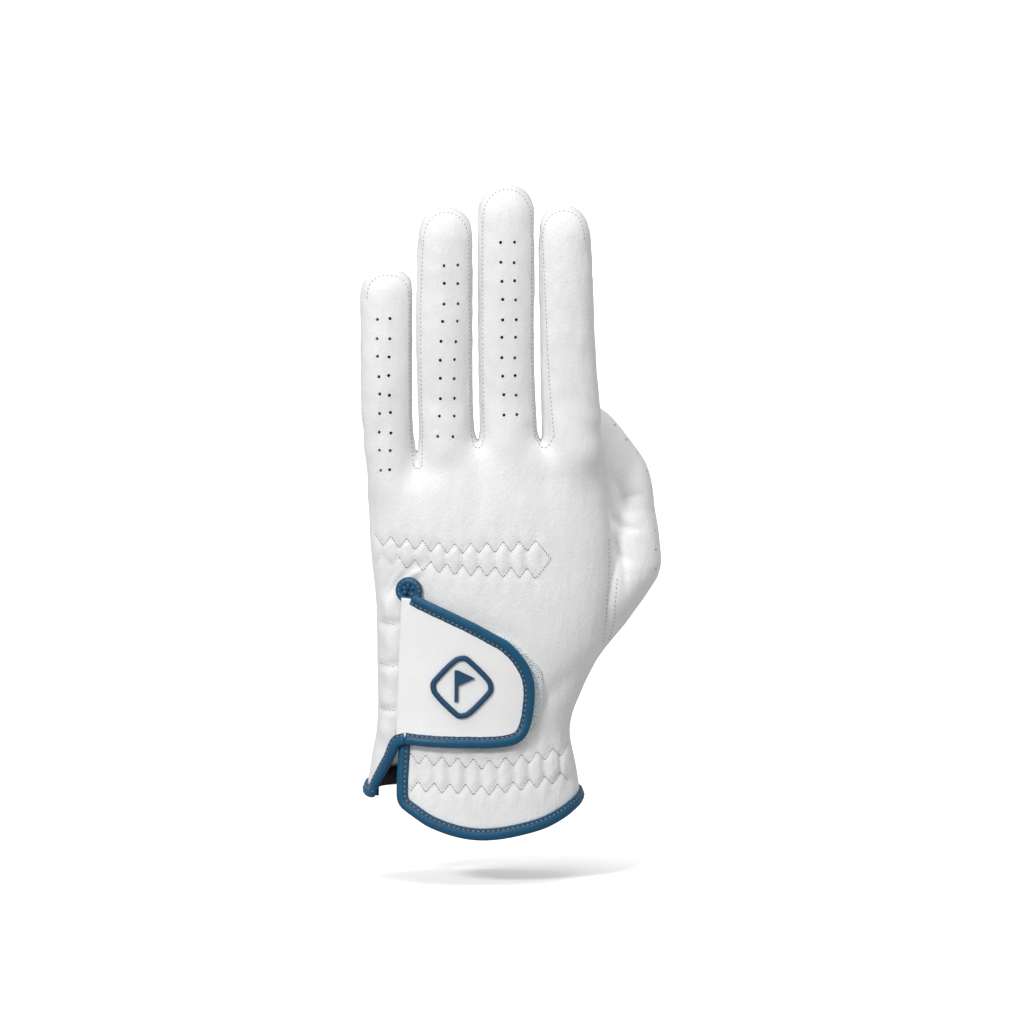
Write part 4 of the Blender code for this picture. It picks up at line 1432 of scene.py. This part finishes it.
def sun(name, azimuth, elevation, strength, softness):
    """A sun seen at an azimuth from the front, positive to the right, and a height above the horizon."""
    data = bpy.data.lights.new(name, "SUN")
    data.energy, data.angle = strength, math.radians(softness)
    lamp = bpy.data.objects.new(name, data)
    bpy.context.scene.collection.objects.link(lamp)
    turn, lift = math.radians(azimuth), math.radians(elevation)
    way = Vector((-math.sin(turn) * math.cos(lift), math.cos(turn) * math.cos(lift), -math.sin(lift)))
    lamp.rotation_euler = way.to_track_quat("-Z", "Y").to_euler()
    return lamp


def make_floor():
    """A white floor a little below the glove, bright to the camera and dimmer to all other light."""
    bpy.ops.mesh.primitive_plane_add(size=40, location=(0, 0, FLOOR * MM))
    floor = bpy.context.object
    floor.name = "floor"
    white = bpy.data.materials.new("floor_white")
    white.use_nodes = True
    nodes, links = white.node_tree.nodes, white.node_tree.links
    shader = nodes["Principled BSDF"]
    shader.inputs["Roughness"].default_value = 1.0
    shader.inputs["Specular IOR Level"].default_value = 0.0
    camera_only(nodes, links, 0.9, 0.45, shader.inputs["Base Color"])
    camera_only(nodes, links, 0.32, 0.0, shader.inputs["Emission Strength"])
    shader.inputs["Emission Color"].default_value = (1, 1, 1, 1)
    floor.data.materials.append(white)
    return floor


def make_surround():
    """A white world, brighter to the camera than to the glove."""
    world = bpy.context.scene.world or bpy.data.worlds.new("surround")
    bpy.context.scene.world = world
    world.use_nodes = True
    surround = world.node_tree.nodes["Background"]
    surround.inputs["Color"].default_value = (1, 1, 1, 1)
    camera_only(world.node_tree.nodes, world.node_tree.links, 1.2, 0.48, surround.inputs["Strength"])


def make_camera():
    """A long lens from the front, lifted a little and looking down at the glove's middle."""
    camera = bpy.data.objects.new("camera", bpy.data.cameras.new("camera"))
    bpy.context.scene.collection.objects.link(camera)
    bpy.context.scene.camera = camera
    camera.data.lens = CAMERA_LENS
    lift = math.radians(CAMERA_LIFT)
    camera.location = CAMERA_TARGET + CAMERA_AWAY * Vector((0, -math.cos(lift), math.sin(lift)))
    camera.rotation_euler = (math.pi / 2 - lift, 0, 0)


floor = make_floor()
make_surround()
make_camera()
bpy.context.scene.view_settings.view_transform = "Standard"
sun("key", -34, 36, 1.7, 12)
sun("top", 0, 84, 1.35, 34)
